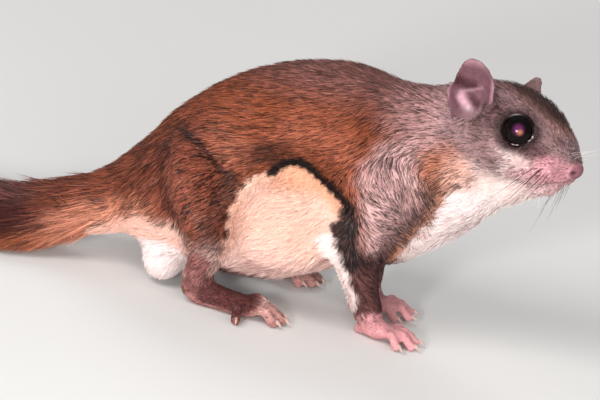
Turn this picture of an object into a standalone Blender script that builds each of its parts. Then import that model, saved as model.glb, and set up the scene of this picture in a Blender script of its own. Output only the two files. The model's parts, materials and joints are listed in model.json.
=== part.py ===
"""Flying squirrel standing on all fours, life size, as a still museum model.

The animal looks along +X and its left side is +Y. Sizes are in millimetres and are
scaled to metres as each mesh is made. The body is modelled whole, as the outline of
its fur, and is then parted into named pieces by thin cuts. The origin is moved to the
middle of the base at the end.
"""

import math

import bmesh
import bpy
from mathutils import Matrix, Vector

MM = 0.001
GAP = 0.3
SIDES = {"right": -1, "left": 1}

# The torso's upright sections, each as x, top, bottom and half width of the fur.
TORSO = (
    (-54.0, 26.0, 16.0, 5.0),
    (-50.5, 32.5, 11.0, 12.5),
    (-46.5, 40.5, 8.0, 17.5),
    (-41.0, 47.5, 6.5, 20.5),
    (-32.0, 56.0, 5.5, 23.0),
    (-22.0, 62.2, 5.2, 24.0),
    (-12.0, 66.2, 5.8, 23.6),
    (-4.0, 68.2, 8.0, 22.6),
    (4.0, 68.6, 12.0, 20.8),
    (12.0, 67.2, 15.5, 18.6),
    (19.0, 67.6, 17.2, 16.4),
    (26.0, 70.0, 20.5, 14.2),
    (33.0, 71.0, 26.5, 12.0),
)
# The neck and throat, each ring as its centre, half width and half height.
NECK = (
    (20.0, 0.0, 43.0, 15.2, 24.4),
    (29.0, -0.6, 46.8, 14.4, 23.6),
    (37.0, -2.2, 50.7, 13.2, 20.3),
    (43.0, -3.8, 54.0, 11.6, 16.6),
    (47.0, -5.0, 54.8, 9.0, 11.4),
)

# The head turns to its right, dips its nose and leans its far side down.
HEAD_CENTRE = Vector((51.0, -6.5, 65.4))
HEAD_YAW, HEAD_PITCH, HEAD_LEAN = math.radians(-25), math.radians(7), math.radians(15)
# Sections of the head in its own frame, whose origin lies midway between the eyes.
SKULL = (
    (16.4, -2.3, -5.9, 2.3),
    (14.8, -0.8, -8.1, 3.7),
    (12.0, 1.4, -11.4, 5.4),
    (9.0, 3.4, -13.8, 7.1),
    (5.0, 6.0, -15.2, 9.2),
    (0.0, 7.9, -15.8, 11.2),
    (-6.0, 8.5, -15.4, 12.6),
    (-12.0, 7.7, -14.8, 13.2),
    (-18.0, 5.6, -14.4, 13.0),
    (-23.0, 2.4, -13.5, 12.0),
    (-27.5, -1.5, -12.0, 9.5),
)
# Rounded forms laid on each side of the head, as centre and radii for its left side.
FACE_FORMS = {
    "whisker_pad": ((9.6, 4.2, -6.9), (4.6, 3.1, 3.8)),
    "cheek": ((-3.0, 8.2, -8.6), (9.0, 5.2, 7.0)),
    "brow": ((-1.0, 7.2, 2.4), (6.6, 3.6, 3.4)),
    "chin": ((8.4, 1.4, -11.6), (4.0, 3.4, 3.2)),
    "throat": ((4.4, 1.6, -13.7), (4.6, 4.0, 4.0)),
    "gullet": ((0.8, 1.8, -17.2), (4.2, 4.6, 4.5)),
}
EYE_RADIUS, EYE_PLACE = 4.5, Vector((-0.5, 8.9, -1.4))
EYE_LOOK = Vector((0.26, 1.0, 0.22)).normalized()
LID_RADIUS, LID_ROLL, LID_REACH = 4.2, 0.7, 1.9
NOSE_CENTRE, NOSE_RADII = Vector((14.9, 0.0, -4.2)), (2.2, 2.7, 2.5)
NOSTRIL = ((16.2, 1.9, -5.1), (1.5, 0.5, 0.8), math.radians(28))
# The mouth line runs back and down from under the nose, to a corner below the eye.
MOUTH_FRONT, MOUTH_CORNER = Vector((15.4, 0.0, -7.4)), Vector((8.4, 0.0, -12.8))

EAR_ROOT = Vector((-13.6, 13.3, -5.2))
EAR_UP = {"right": Vector((-0.24, 0.18, 0.94)), "left": Vector((-0.14, 0.18, 0.95))}
# The near ear opens more to the side, and the far one more to the front.
EAR_FACE = {"right": Vector((0.34, 0.93, -0.06)), "left": Vector((0.60, 0.79, -0.10))}
EAR_HEIGHT, EAR_WALL = {"right": 16.8, "left": 15.6}, 0.8
EAR_SCOOP = ((1.4, 6.0), (4.4, 5.7, 6.8))
# Half width and depth of the cup against the share of its height.
EAR_FORM = (
    (0.00, 4.0, 2.8),
    (0.14, 5.3, 3.8),
    (0.34, 6.7, 4.2),
    (0.55, 6.8, 3.6),
    (0.75, 5.8, 2.4),
    (0.90, 4.1, 1.3),
    (1.00, 1.6, 0.5),
)
EAR_ARC = math.radians(76)

# Limbs of the right side, each ring as centre, half width and half height.
UPPER_ARM = (
    (16.0, -11.0, 50.0, 6.0, 6.0),
    (14.0, -14.2, 40.0, 7.4, 9.0),
    (12.4, -15.2, 30.0, 6.4, 8.0),
    (12.6, -15.0, 22.0, 5.2, 6.6),
)
FOREARM = (
    (12.2, -14.6, 25.0, 4.8, 6.0),
    (13.8, -14.2, 19.0, 4.7, 6.0),
    (16.0, -13.0, 13.0, 4.3, 5.0),
    (18.2, -11.8, 8.0, 3.7, 4.1),
    (19.6, -11.0, 4.6, 3.1, 3.4),
)
THIGH = (
    (-37.0, -14.0, 42.0, 6.0, 7.0),
    (-33.0, -17.0, 34.0, 8.0, 12.0),
    (-28.5, -18.4, 26.0, 7.4, 12.0),
    (-25.0, -19.4, 18.0, 6.2, 8.6),
)
SHANK = (
    (-24.2, -20.0, 22.0, 5.0, 6.6),
    (-25.0, -20.4, 15.0, 4.6, 5.8),
    (-26.6, -20.0, 9.0, 4.0, 4.8),
    (-27.4, -19.4, 5.2, 3.4, 4.0),
)
# The far fore leg is set further back and the far hind leg further forward.
FORE_STEP = {"right": 0.0, "left": -5.0}
HIND_STEP = {"right": 0.0, "left": 3.0}

# The gliding skin's free edge, gathered along the right flank from wrist to ankle.
SKIN_EDGE = (
    (13.0, -14.5, 14.5),
    (9.0, -17.8, 24.0),
    (8.0, -19.8, 33.0),
    (3.2, -21.6, 40.5),
    (-7.5, -23.2, 44.6),
    (-19.0, -24.4, 38.0),
    (-22.4, -24.2, 28.0),
    (-22.6, -23.6, 18.0),
    (-25.6, -21.6, 9.5),
)
SKIN_EDGE_RADIUS = 2.7
SKIN_EDGE_CUT = 4.6
BELLY_SIDE = ((-8.0, 15.2, 26.0), (17.0, 7.6, 14.0))
RUMP_PUFF = ((-37.4, -9.6, 7.2), (6.6, 7.4, 6.6))

# The tail's stem, each ring as centre, half width and half height.
TAIL_ROOT = (
    (-44.0, 0.0, 25.0, 13.0, 11.0),
    (-51.0, 0.0, 19.4, 11.8, 9.8),
    (-57.0, -0.8, 16.0, 12.0, 8.6),
    (-63.0, -1.8, 13.0, 13.0, 8.0),
    (-69.0, -3.0, 10.4, 14.4, 7.2),
)
TAIL_LINE = (
    (-54.0, -0.6, 17.5),
    (-66.5, -2.6, 11.0),
    (-76.0, -4.8, 7.8),
    (-90.0, -8.0, 6.4),
    (-110.0, -10.0, 6.2),
    (-130.0, -7.6, 5.4),
    (-146.0, -3.6, 4.8),
)
# Half width and half height of the tail's core and of its spread of hair, by share of its length.
TAIL_CORE = ((0.0, 8.0, 6.0), (0.14, 8.6, 4.6), (0.3, 7.8, 3.4), (0.6, 7.4, 3.0), (0.88, 6.0, 2.6), (1.0, 2.6, 1.6))
TAIL_SPREAD = ((0.0, 11.4, 8.6), (0.14, 13.8, 7.6), (0.3, 15.8, 6.6), (0.6, 16.4, 6.0), (0.88, 14.6, 5.4), (1.0, 11.0, 4.2))
TAIL_ROLL = math.radians(17)
LOCK_STEPS, LOCK_WIDTH, LOCK_THICKNESS = 13, 6.2, 1.4
# A lock's shares of its length, width and thickness, and its rise there.
LOCK_FORM = ((0.0, 0.8, 1.0, 0.0), (0.62, 1.0, 1.0, 0.5), (1.0, 0.14, 0.3, 0.0))
# Each lock leaves the core at an angle round it, and stands by how far along its step.
LOCK_RING = ((0, 0.0), (36, 0.5), (-32, 0.45), (72, 0.15))

HAND_CENTRE = Vector((21.4, -10.6, 3.1))
HAND_RADII = (5.2, 3.9, 2.7)
WRIST_PAD = ((16.8, -9.4, 1.7), (2.0, 1.7, 1.9))
# Each digit as where it leaves the palm, its heading, its reach and its arch.
FINGERS = (
    ((24.2, -13.4, 2.9), -44, 6.4, 1.1),
    ((25.4, -11.8, 3.0), -17, 7.6, 1.3),
    ((25.6, -9.8, 3.0), 5, 7.4, 1.3),
    ((24.4, -8.0, 2.9), 32, 6.2, 1.1),
)
FINGER_RADIUS = 1.28
HEEL, SOLE_FRONT = Vector((-28.6, -19.2, 3.6)), Vector((-12.6, -19.4, 3.0))
TOES = (
    ((-13.6, -16.4, 3.0), 18, 8.2, 2.2),
    ((-10.6, -17.4, 2.9), 6, 8.0, 1.3),
    ((-10.0, -19.2, 2.9), -6, 8.4, 1.3),
    ((-10.8, -21.2, 2.9), -18, 7.8, 1.3),
    ((-14.6, -22.0, 2.8), -80, 7.6, 1.2),
)
TOE_RADIUS = 1.36
CLAW_LENGTH, CLAW_RADIUS = 3.1, 0.62
SOLE_PRESS, FLAT_DEPTH = 0.45, 0.12

VOXEL, FOOT_VOXEL = 0.9, 0.36
BODY_FACES, FOOT_FACES = 4400, 420
# The share of its triangles that each piece of the body keeps once it is parted.
KEPT = {"head": 0.86, "lower_jaw": 1.0, "nose": 1.0}
KEPT_ELSEWHERE = 0.49
WELD = 0.01

COLOURS = {
    "brown_fur": (0.20, 0.105, 0.062, 0.85),
    "grey_fur": (0.27, 0.20, 0.17, 0.85),
    "cream_fur": (0.80, 0.66, 0.52, 0.85),
    "tail_fur": (0.26, 0.15, 0.095, 0.85),
    "dark_edge_fur": (0.035, 0.024, 0.02, 0.85),
    "pink_skin": (0.66, 0.36, 0.34, 0.55),
    "eye": (0.006, 0.004, 0.004, 0.05),
    "claw": (0.62, 0.53, 0.47, 0.35),
}


def material(slot):
    """The plain finish of one colour slot, made once."""
    found = bpy.data.materials.get(slot)
    if found:
        return found
    made = bpy.data.materials.new(slot)
    made.use_nodes = True
    shader = made.node_tree.nodes["Principled BSDF"]
    red, green, blue, roughness = COLOURS[slot]
    shader.inputs["Base Color"].default_value = (red, green, blue, 1.0)
    shader.inputs["Roughness"].default_value = roughness
    shader.inputs["Metallic"].default_value = 0.0
    return made


def add_object(name, shape):
    """A new object from a bmesh in millimetres, which is freed."""
    bmesh.ops.scale(shape, vec=(MM, MM, MM), verts=shape.verts)
    mesh = bpy.data.meshes.new(name)
    shape.to_mesh(mesh)
    shape.free()
    made = bpy.data.objects.new(name, mesh)
    bpy.context.scene.collection.objects.link(made)
    return made


def remove(*objects):
    """Deletes helper objects."""
    for one in objects:
        bpy.data.objects.remove(one)


def bake(target):
    """Replaces the object's mesh with what its modifiers make of it."""
    bpy.context.view_layer.update()
    graph = bpy.context.evaluated_depsgraph_get()
    mesh = bpy.data.meshes.new_from_object(target.evaluated_get(graph))
    target.modifiers.clear()
    target.data = mesh
    return target


def twin(source, name):
    """A separate copy of an object and its mesh."""
    made = source.copy()
    made.data = source.data.copy()
    made.name = name
    bpy.context.scene.collection.objects.link(made)
    return made


def boolean(target, other, operation, solver="MANIFOLD"):
    """Cuts or joins the target with another object."""
    step = target.modifiers.new("join", "BOOLEAN")
    step.object = other
    step.operation = operation
    step.solver = solver
    return bake(target)


def grown(source, distance):
    """A copy of a solid, swollen along its normals."""
    made = twin(source, source.name + "_grown")
    swell = made.modifiers.new("swell", "DISPLACE")
    swell.strength = distance * MM
    swell.mid_level = 0.0
    return bake(made)


def largest(target):
    """Keeps only the largest closed surface of a mesh."""
    shape = bmesh.new()
    shape.from_mesh(target.data)
    waiting = set(shape.faces)
    best, best_volume = set(), 0.0
    while waiting:
        island, edge_of_island = set(), [waiting.pop()]
        while edge_of_island:
            face = edge_of_island.pop()
            island.add(face)
            for edge in face.edges:
                for other in edge.link_faces:
                    if other in waiting:
                        waiting.remove(other)
                        edge_of_island.append(other)
        volume = 0.0
        for face in island:
            corners = [corner.co for corner in face.verts]
            for second, third in zip(corners[1:], corners[2:]):
                volume += corners[0].dot(second.cross(third))
        if volume > best_volume:
            best, best_volume = island, volume
    bmesh.ops.delete(shape, geom=[f for f in shape.faces if f not in best], context="FACES")
    shape.to_mesh(target.data)
    shape.free()
    return target


def through(points, count):
    """A smooth curve through rows of numbers, read at evenly spaced steps."""
    rows = [Vector(p) for p in points]
    rows = [rows[0] * 2 - rows[1], *rows, rows[-1] * 2 - rows[-2]]
    spans = len(rows) - 3
    read = []
    for step in range(count):
        place = step / (count - 1) * spans
        span = min(int(place), spans - 1)
        t = place - span
        a, b, c, d = rows[span : span + 4]
        read.append(
            b
            + (c - a) * (t / 2)
            + (a * 2 - b * 5 + c * 4 - d) * (t * t / 2)
            + (b * 3 - a - c * 3 + d) * (t * t * t / 2)
        )
    return read


def between(table, place):
    """The values of a table's row at a share of its length, smoothly between rows."""
    for low, high in zip(table, table[1:]):
        if place <= high[0]:
            share = (place - low[0]) / (high[0] - low[0])
            share = share * share * (3 - 2 * share)
            return [a + (b - a) * share for a, b in zip(low[1:], high[1:])]
    return list(table[-1][1:])


def close_rings(shape, rings):
    """Joins rings of vertices into a tube and closes both ends."""
    for ring, following in zip(rings, rings[1:]):
        for i in range(len(ring)):
            j = (i + 1) % len(ring)
            shape.faces.new((ring[i], ring[j], following[j], following[i]))
    for ring, turned in ((rings[0], True), (rings[-1], False)):
        centre = sum((v.co for v in ring), Vector()) / len(ring)
        tip = shape.verts.new(centre)
        for i in range(len(ring)):
            j = (i + 1) % len(ring)
            corners = (ring[i], ring[j], tip)
            shape.faces.new(corners[::-1] if turned else corners)
    bmesh.ops.recalc_face_normals(shape, faces=shape.faces)


def tube(name, rows, rings=16, sides=20, facing=None, up=Vector((0, 0, 1)), frame=Matrix()):
    """A closed tube through rows of centre, half width and half height."""
    read = through([list(row) + [0] * 0 for row in rows], rings)
    centres = [Vector(row[:3]) for row in read]
    shape = bmesh.new()
    made = []
    for i, row in enumerate(read):
        ahead = centres[min(i + 1, rings - 1)] - centres[max(i - 1, 0)]
        ahead = Vector(facing) if facing else ahead.normalized()
        across = up.cross(ahead).normalized()
        rise = ahead.cross(across).normalized()
        ring = []
        for k in range(sides):
            angle = math.tau * k / sides
            point = centres[i] + across * (row[3] * math.cos(angle)) + rise * (row[4] * math.sin(angle))
            ring.append(shape.verts.new(frame @ point))
        made.append(ring)
    close_rings(shape, made)
    return add_object(name, shape)


def upright_tube(name, sections, rings, sides, frame=Matrix()):
    """A closed tube through upright sections of x, top, bottom and half width."""
    rows = [(x, 0.0, (top + low) / 2, wide, (top - low) / 2) for x, top, low, wide in sections]
    return tube(name, rows, rings, sides, facing=(1, 0, 0), frame=frame)


def ball(name, centre, radii, frame=Matrix(), fineness=2):
    """A closed ellipsoid."""
    shape = bmesh.new()
    place = frame @ Matrix.Translation(Vector(centre)) @ Matrix.Diagonal((*radii, 1.0))
    bmesh.ops.create_icosphere(shape, subdivisions=fineness, radius=1.0, matrix=place)
    return add_object(name, shape)


def block(name, centre, lengths, frame=Matrix()):
    """A closed box."""
    shape = bmesh.new()
    place = frame @ Matrix.Translation(Vector(centre)) @ Matrix.Diagonal((*lengths, 1.0))
    bmesh.ops.create_cube(shape, size=1.0, matrix=place)
    return add_object(name, shape)


def turned_to(direction, place):
    """A frame at a place, with its X axis along a direction and its Z axis near up."""
    ahead = Vector(direction).normalized()
    across = Vector((0, 0, 1)).cross(ahead).normalized()
    rise = ahead.cross(across)
    turn = Matrix((ahead, across, rise)).transposed().to_4x4()
    return Matrix.Translation(Vector(place)) @ turn


def fuse(name, pieces, voxel, rounds, faces):
    """Fuses closed meshes into one skin, softens the creases and thins its faces."""
    joined = bmesh.new()
    for piece in pieces:
        joined.from_mesh(piece.data)
    mesh = bpy.data.meshes.new(name)
    joined.to_mesh(mesh)
    joined.free()
    made = bpy.data.objects.new(name, mesh)
    bpy.context.scene.collection.objects.link(made)
    remove(*pieces)
    remesh = made.modifiers.new("fuse", "REMESH")
    remesh.mode = "VOXEL"
    remesh.voxel_size = voxel * MM
    soften = made.modifiers.new("soften", "SMOOTH")
    soften.factor = 0.5
    soften.iterations = rounds
    bake(made)
    thin(made, faces)
    return largest(made)


def thin(target, faces):
    """Thins a mesh to about this many triangles, as far as it stays closed."""
    full = target.data
    full.calc_loop_triangles()
    for share in (1.0, 1.15, 1.35, 1.6):
        step = target.modifiers.new("thin", "DECIMATE")
        step.ratio = min(1.0, share * faces / len(full.loop_triangles))
        bake(target)
        if closed(target.data):
            return target
        target.data = full
    return target


def welded(target):
    """Joins corners that all but touch, so that no sliver is left between two locks."""
    shape = bmesh.new()
    shape.from_mesh(target.data)
    bmesh.ops.remove_doubles(shape, verts=shape.verts, dist=WELD * MM)
    bmesh.ops.dissolve_degenerate(shape, edges=shape.edges, dist=WELD * MM)
    bmesh.ops.triangulate(shape, faces=shape.faces)
    shape.to_mesh(target.data)
    shape.free()
    return target


def closed(mesh):
    """Whether every edge of a mesh has exactly two faces."""
    shape = bmesh.new()
    shape.from_mesh(mesh)
    whole = all(len(edge.link_faces) == 2 for edge in shape.edges)
    shape.free()
    return whole


def head_frame():
    """The head's place and turn in the body's frame."""
    turn = (
        Matrix.Rotation(HEAD_YAW, 4, "Z")
        @ Matrix.Rotation(HEAD_PITCH, 4, "Y")
        @ Matrix.Rotation(HEAD_LEAN, 4, "X").inverted()
    )
    return Matrix.Translation(HEAD_CENTRE) @ turn


def side_point(point, sign, step=0.0):
    """A right side point moved to the named side and along the body."""
    x, y, z = point[:3]
    return Vector((x + step, y if sign < 0 else -y, z))


def side_rows(rows, sign, step, fixed=0.0):
    """Right side rings moved to the named side, the last ones by the whole step."""
    moved = []
    for i, row in enumerate(rows):
        share = fixed + (1 - fixed) * i / (len(rows) - 1)
        moved.append((*side_point(row, sign, step * share), *row[3:]))
    return moved


def skin_edge(side, radius, name):
    """A tube along the free edge of one side's gliding skin."""
    sign = SIDES[side]
    last = len(SKIN_EDGE) - 1
    rows = []
    for i, point in enumerate(SKIN_EDGE):
        step = FORE_STEP[side] * max(0.0, 1 - i / 2) + HIND_STEP[side] * max(0.0, 1 - (last - i) / 2)
        rows.append((*side_point(point, sign, step), radius, radius))
    return tube(name, rows, rings=15, sides=8, up=Vector((0, 1, 0)))


def whole_body(head):
    """The outline of the fur from nose to tail root, fused from muscle by muscle."""
    pieces = [
        upright_tube("torso_form", TORSO, 30, 32),
        tube("neck_form", NECK, 10, 28, facing=(1, 0, 0)),
        upright_tube("skull_form", SKULL, 20, 28, frame=head),
        tube("tail_form", TAIL_ROOT, 12, 24, up=Vector((0, -math.sin(TAIL_ROLL), math.cos(TAIL_ROLL)))),
        ball("puff_form", *RUMP_PUFF),
    ]
    for side, sign in SIDES.items():
        for part, (centre, radii) in FACE_FORMS.items():
            centre = (centre[0], centre[1] * sign, centre[2])
            pieces.append(ball(part + side, centre, radii, head))
        fore, hind = FORE_STEP[side], HIND_STEP[side]
        across = Vector((0, 1, 0))
        pieces.append(tube("arm" + side, side_rows(UPPER_ARM, sign, 0.0), 10, 16, up=across))
        pieces.append(tube("fore" + side, side_rows(FOREARM, sign, fore), 10, 16, up=across))
        pieces.append(tube("thigh" + side, side_rows(THIGH, sign, 0.0), 12, 18, up=across))
        pieces.append(tube("shank" + side, side_rows(SHANK, sign, hind, 0.4), 10, 16, up=across))
        centre, radii = BELLY_SIDE
        pieces.append(ball("belly" + side, (centre[0], centre[1] * sign, centre[2]), radii))
        pieces.append(skin_edge(side, SKIN_EDGE_RADIUS, "edge" + side))
    return fuse("body", pieces, VOXEL, 5, BODY_FACES)


def digit(name, root, heading, reach, arch, radius, sign):
    """One finger or toe, arched from the palm down to its tip pad, and its claw's start."""
    angle = math.radians(heading) * -sign
    ahead = Vector((math.cos(angle), math.sin(angle), 0.0))
    root = Vector(root)
    start = root - ahead * 2.4
    knuckle = root + ahead * (reach * 0.42) + Vector((0, 0, arch))
    pad = root + ahead * (reach * 0.86)
    pad.z = radius * 1.05
    tip = root + ahead * reach
    tip.z = radius * 0.95
    rows = (
        (*start, radius * 1.05, radius * 1.05),
        (*root, radius * 1.08, radius * 1.05),
        (*knuckle, radius, radius * 0.98),
        (*pad, radius * 1.16, radius * 1.12),
        (*tip, radius * 0.55, radius * 0.6),
    )
    return tube(name, rows, 11, 12), pad + Vector((0, 0, radius * 0.45)), ahead


def claw(name, start, ahead):
    """A curved, tapered claw that leaves the top of a digit's tip."""
    rows = []
    for share, size in ((0.0, 1.0), (0.35, 0.9), (0.65, 0.68), (0.88, 0.38), (1.0, 0.16)):
        bend = share * math.radians(62)
        point = start + ahead * (CLAW_LENGTH * math.sin(bend) / math.radians(62) * 1.05)
        point = point + Vector((0, 0, -CLAW_LENGTH * (1 - math.cos(bend)) * 0.75 + 0.15 * math.sin(bend)))
        rows.append((*point, CLAW_RADIUS * size * 0.72, CLAW_RADIUS * size))
    return tube(name, rows, 5, 5)


def on_floor(target, press=0.0):
    """Presses a foot down and flattens what reaches the floor into small flats at its level."""
    for vertex in target.data.vertices:
        vertex.co.z -= press * MM
        if vertex.co.z < FLAT_DEPTH * MM:
            vertex.co.z = 0.0
    return target


def paw(name, limb, side, pieces, digits, radius):
    """Fuses one hand or foot, and fits a claw to the tip of each digit."""
    sign = SIDES[side]
    starts = []
    for i, (root, heading, reach, arch) in enumerate(digits):
        root = side_point(root, sign, limb)
        made, start, ahead = digit(f"{name}_digit", root, heading, reach, arch, radius, sign)
        pieces.append(made)
        starts.append((f"{name}_claw_{i + 1}_{side}", start, ahead))
    solid = fuse(f"{name}_{side}", pieces, FOOT_VOXEL, 3, 20 * FOOT_FACES)
    on_floor(solid, SOLE_PRESS)
    on_floor(thin(solid, FOOT_FACES))
    clear = grown(solid, GAP)
    claws = []
    for claw_name, start, ahead in starts:
        one = claw(claw_name, start, ahead)
        claws.append(largest(boolean(one, clear, "DIFFERENCE")))
    remove(clear)
    return solid, claws


def hand(side):
    """A fore foot with four fingers, its palm and the pad at the wrist."""
    sign, step = SIDES[side], FORE_STEP[side]
    wrist = side_rows(FOREARM[-2:], sign, step, 1.0)
    palm = ball("palm", side_point(HAND_CENTRE, sign, step), HAND_RADII)
    pad = ball("pad", side_point(WRIST_PAD[0], sign, step), WRIST_PAD[1])
    low = (*side_point((20.6, -10.8, 2.8), sign, step), 2.9, 3.0)
    cuff = tube("cuff", [wrist[0], wrist[1], low], 8, 16, up=Vector((0, 1, 0)))
    return paw("hand", step, side, [palm, pad, cuff], FINGERS, FINGER_RADIUS)


def foot(side):
    """A hind foot with its heel, long sole and five toes."""
    sign, step = SIDES[side], HIND_STEP[side]
    rows = [
        (*side_point(HEEL, sign, step), 2.2, 2.4),
        (*side_point(HEEL + Vector((2.4, 0.1, 0.4)), sign, step), 3.5, 3.7),
        (*side_point(HEEL + Vector((7.0, 0.1, 0.0)), sign, step), 3.5, 3.3),
        (*side_point(HEEL + Vector((12.0, -0.1, -0.4)), sign, step), 4.2, 2.9),
        (*side_point(SOLE_FRONT, sign, step), 4.6, 2.6),
        (*side_point(SOLE_FRONT + Vector((3.0, 0.0, -0.2)), sign, step), 3.6, 2.0),
    ]
    sole = tube("sole", rows, 14, 18)
    ankle_rows = [(*side_point(row, sign, step), *row[3:]) for row in SHANK[-2:]]
    ankle = tube("ankle", [*ankle_rows, (*side_point(HEEL + Vector((2.0, 0.0, 0.2)), sign, step), 3.2, 3.4)],
                 8, 16, up=Vector((0, 1, 0)))
    return paw("foot", step, side, [sole, ankle], TOES, TOE_RADIUS)


def ear_axes(side):
    """One ear's root, rise, facing direction and breadth in the head's frame."""
    sign = SIDES[side]
    rise = Vector((EAR_UP[side].x, EAR_UP[side].y * sign, EAR_UP[side].z)).normalized()
    face = Vector((EAR_FACE[side].x, EAR_FACE[side].y * sign, EAR_FACE[side].z))
    face = (face - rise * face.dot(rise)).normalized()
    return Vector((EAR_ROOT.x, EAR_ROOT.y * sign, EAR_ROOT.z)), rise, face, rise.cross(face) * sign


def ear_scoop(side, head):
    """The hollow in the head in front of one ear's cup."""
    root, rise, face, _ = ear_axes(side)
    (ahead, above), radii = EAR_SCOOP
    place = Matrix((face, rise.cross(face), rise)).transposed().to_4x4()
    place = Matrix.Translation(root + face * ahead + rise * above) @ place
    return ball("ear_scoop", (0, 0, 0), radii, head @ place)


def ear(side, head):
    """The cupped shell of one ear."""
    root, rise, face, across = ear_axes(side)
    rows, columns = 9, 11
    shape = bmesh.new()

    def sheet(inset):
        """One face of the shell, as a grid of vertices set in by the wall's thickness."""
        grid = []
        for i in range(rows):
            share = i / (rows - 1)
            wide, deep = between(EAR_FORM, share)
            line = []
            for k in range(columns):
                turn = (k / (columns - 1) * 2 - 1) * EAR_ARC
                out = across * (math.sin(turn) * (wide - inset)) - face * (math.cos(turn) * (deep - inset))
                lift = rise * (EAR_HEIGHT[side] * share - inset * 0.6 * share)
                lean = face * (1.5 * share * share + deep * 0.25)
                line.append(shape.verts.new(head @ (root + out + lift + lean)))
            grid.append(line)
        return grid

    outer, inner = sheet(0.0), sheet(EAR_WALL)
    for i in range(rows - 1):
        for k in range(columns - 1):
            a, b = outer[i][k], outer[i][k + 1]
            c, d = outer[i + 1][k + 1], outer[i + 1][k]
            shape.faces.new((a, b, c))
            shape.faces.new((a, c, d))
            a, b = inner[i][k], inner[i][k + 1]
            c, d = inner[i + 1][k + 1], inner[i + 1][k]
            shape.faces.new((c, b, a))
            shape.faces.new((d, c, a))
    rim = [*[(0, k) for k in range(columns)], *[(i, columns - 1) for i in range(1, rows)]]
    rim += [*[(rows - 1, k) for k in range(columns - 2, -1, -1)], *[(i, 0) for i in range(rows - 2, 0, -1)]]
    for (i, k), (m, n) in zip(rim, [*rim[1:], rim[0]]):
        shape.faces.new((outer[i][k], inner[i][k], inner[m][n], outer[m][n]))
    bmesh.ops.recalc_face_normals(shape, faces=shape.faces)
    return add_object(f"ear_{side}", shape)


def lid_ring(side, head):
    """The rounded rim of both lids round one eye."""
    sign = SIDES[side]
    look = Vector((EYE_LOOK.x, EYE_LOOK.y * sign, EYE_LOOK.z))
    place = turned_to(look, side_point(EYE_PLACE, -sign) + look * LID_REACH)
    shape = bmesh.new()
    rings = []
    turns, sides = 22, 6
    for i in range(turns):
        angle = math.tau * i / turns
        ring = []
        for k in range(sides):
            roll = math.tau * k / sides
            reach = LID_RADIUS + LID_ROLL * math.cos(roll)
            # The opening is a little longer along the head than it is high.
            point = Vector((LID_ROLL * math.sin(roll), reach * math.cos(angle) * 1.04, reach * math.sin(angle) * 0.97))
            ring.append(shape.verts.new(head @ place @ point))
        rings.append(ring)
    for ring, following in zip(rings, [*rings[1:], rings[0]]):
        for k in range(sides):
            j = (k + 1) % sides
            shape.faces.new((ring[k], ring[j], following[j], following[k]))
    bmesh.ops.recalc_face_normals(shape, faces=shape.faces)
    return add_object(f"lids_{side}", shape)


def eyeball(side, head):
    """One eyeball, as a round solid seated in the head."""
    sign = SIDES[side]
    shape = bmesh.new()
    place = head @ turned_to((0, sign, 0.001), side_point(EYE_PLACE, -sign))
    place = place @ Matrix.Rotation(math.radians(90), 4, "Y")
    bmesh.ops.create_uvsphere(shape, u_segments=16, v_segments=10, radius=EYE_RADIUS, matrix=place)
    return add_object(f"eye_{side}", shape)


def carve(source, region, name):
    """Parts a solid at a region's surface: what is inside becomes a node, with a thin gap."""
    wider = grown(region, GAP)
    inside = twin(source, name)
    largest(boolean(inside, region, "INTERSECT"))
    largest(boolean(source, wider, "DIFFERENCE"))
    remove(region, wider)
    return inside


def ahead_of(point, direction, size=120.0):
    """A large block whose rear face is a plane through a point, facing a direction."""
    return block("plane", (size / 2, 0, 0), (size, size, size), turned_to(direction, point))


def tail_frame(share):
    """A frame at a share of the tail's length, rolled towards the animal's right near its root."""
    steps = 40
    line = [Vector(row) for row in through(TAIL_LINE, steps + 1)]
    place = min(share * steps, steps - 0.001)
    step = int(place)
    point = line[step].lerp(line[step + 1], place - step)
    frame = turned_to(line[step + 1] - line[step], point)
    return share, frame @ Matrix.Rotation(-TAIL_ROLL * (1 - share) ** 1.2, 4, "X")


def add_lock(locks, frame, root, tip):
    """Adds one flat, bent, tapered lock: its root well inside the core and its tip thin."""
    shape = bmesh.new()
    turn = frame.to_3x3()
    ahead = turn @ (tip - root).normalized()
    across = (turn @ Vector((0.0, 0.0, 1.0))).cross(ahead).normalized()
    rise = ahead.cross(across)
    rings = []
    for share, wide, thick, bend in LOCK_FORM:
        centre = frame @ (root + (tip - root) * share) + rise * bend
        aside = across * (wide * LOCK_WIDTH / 2)
        above = rise * (thick * LOCK_THICKNESS / 2)
        centre.z = max(centre.z, abs(above.z), abs(aside.z))
        rings.append([shape.verts.new(centre + step) for step in (-aside, above, aside, -above)])
    close_rings(shape, rings)
    one = add_object("lock", shape)
    bpy.context.scene.collection.objects.unlink(one)
    locks.objects.link(one)


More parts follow.
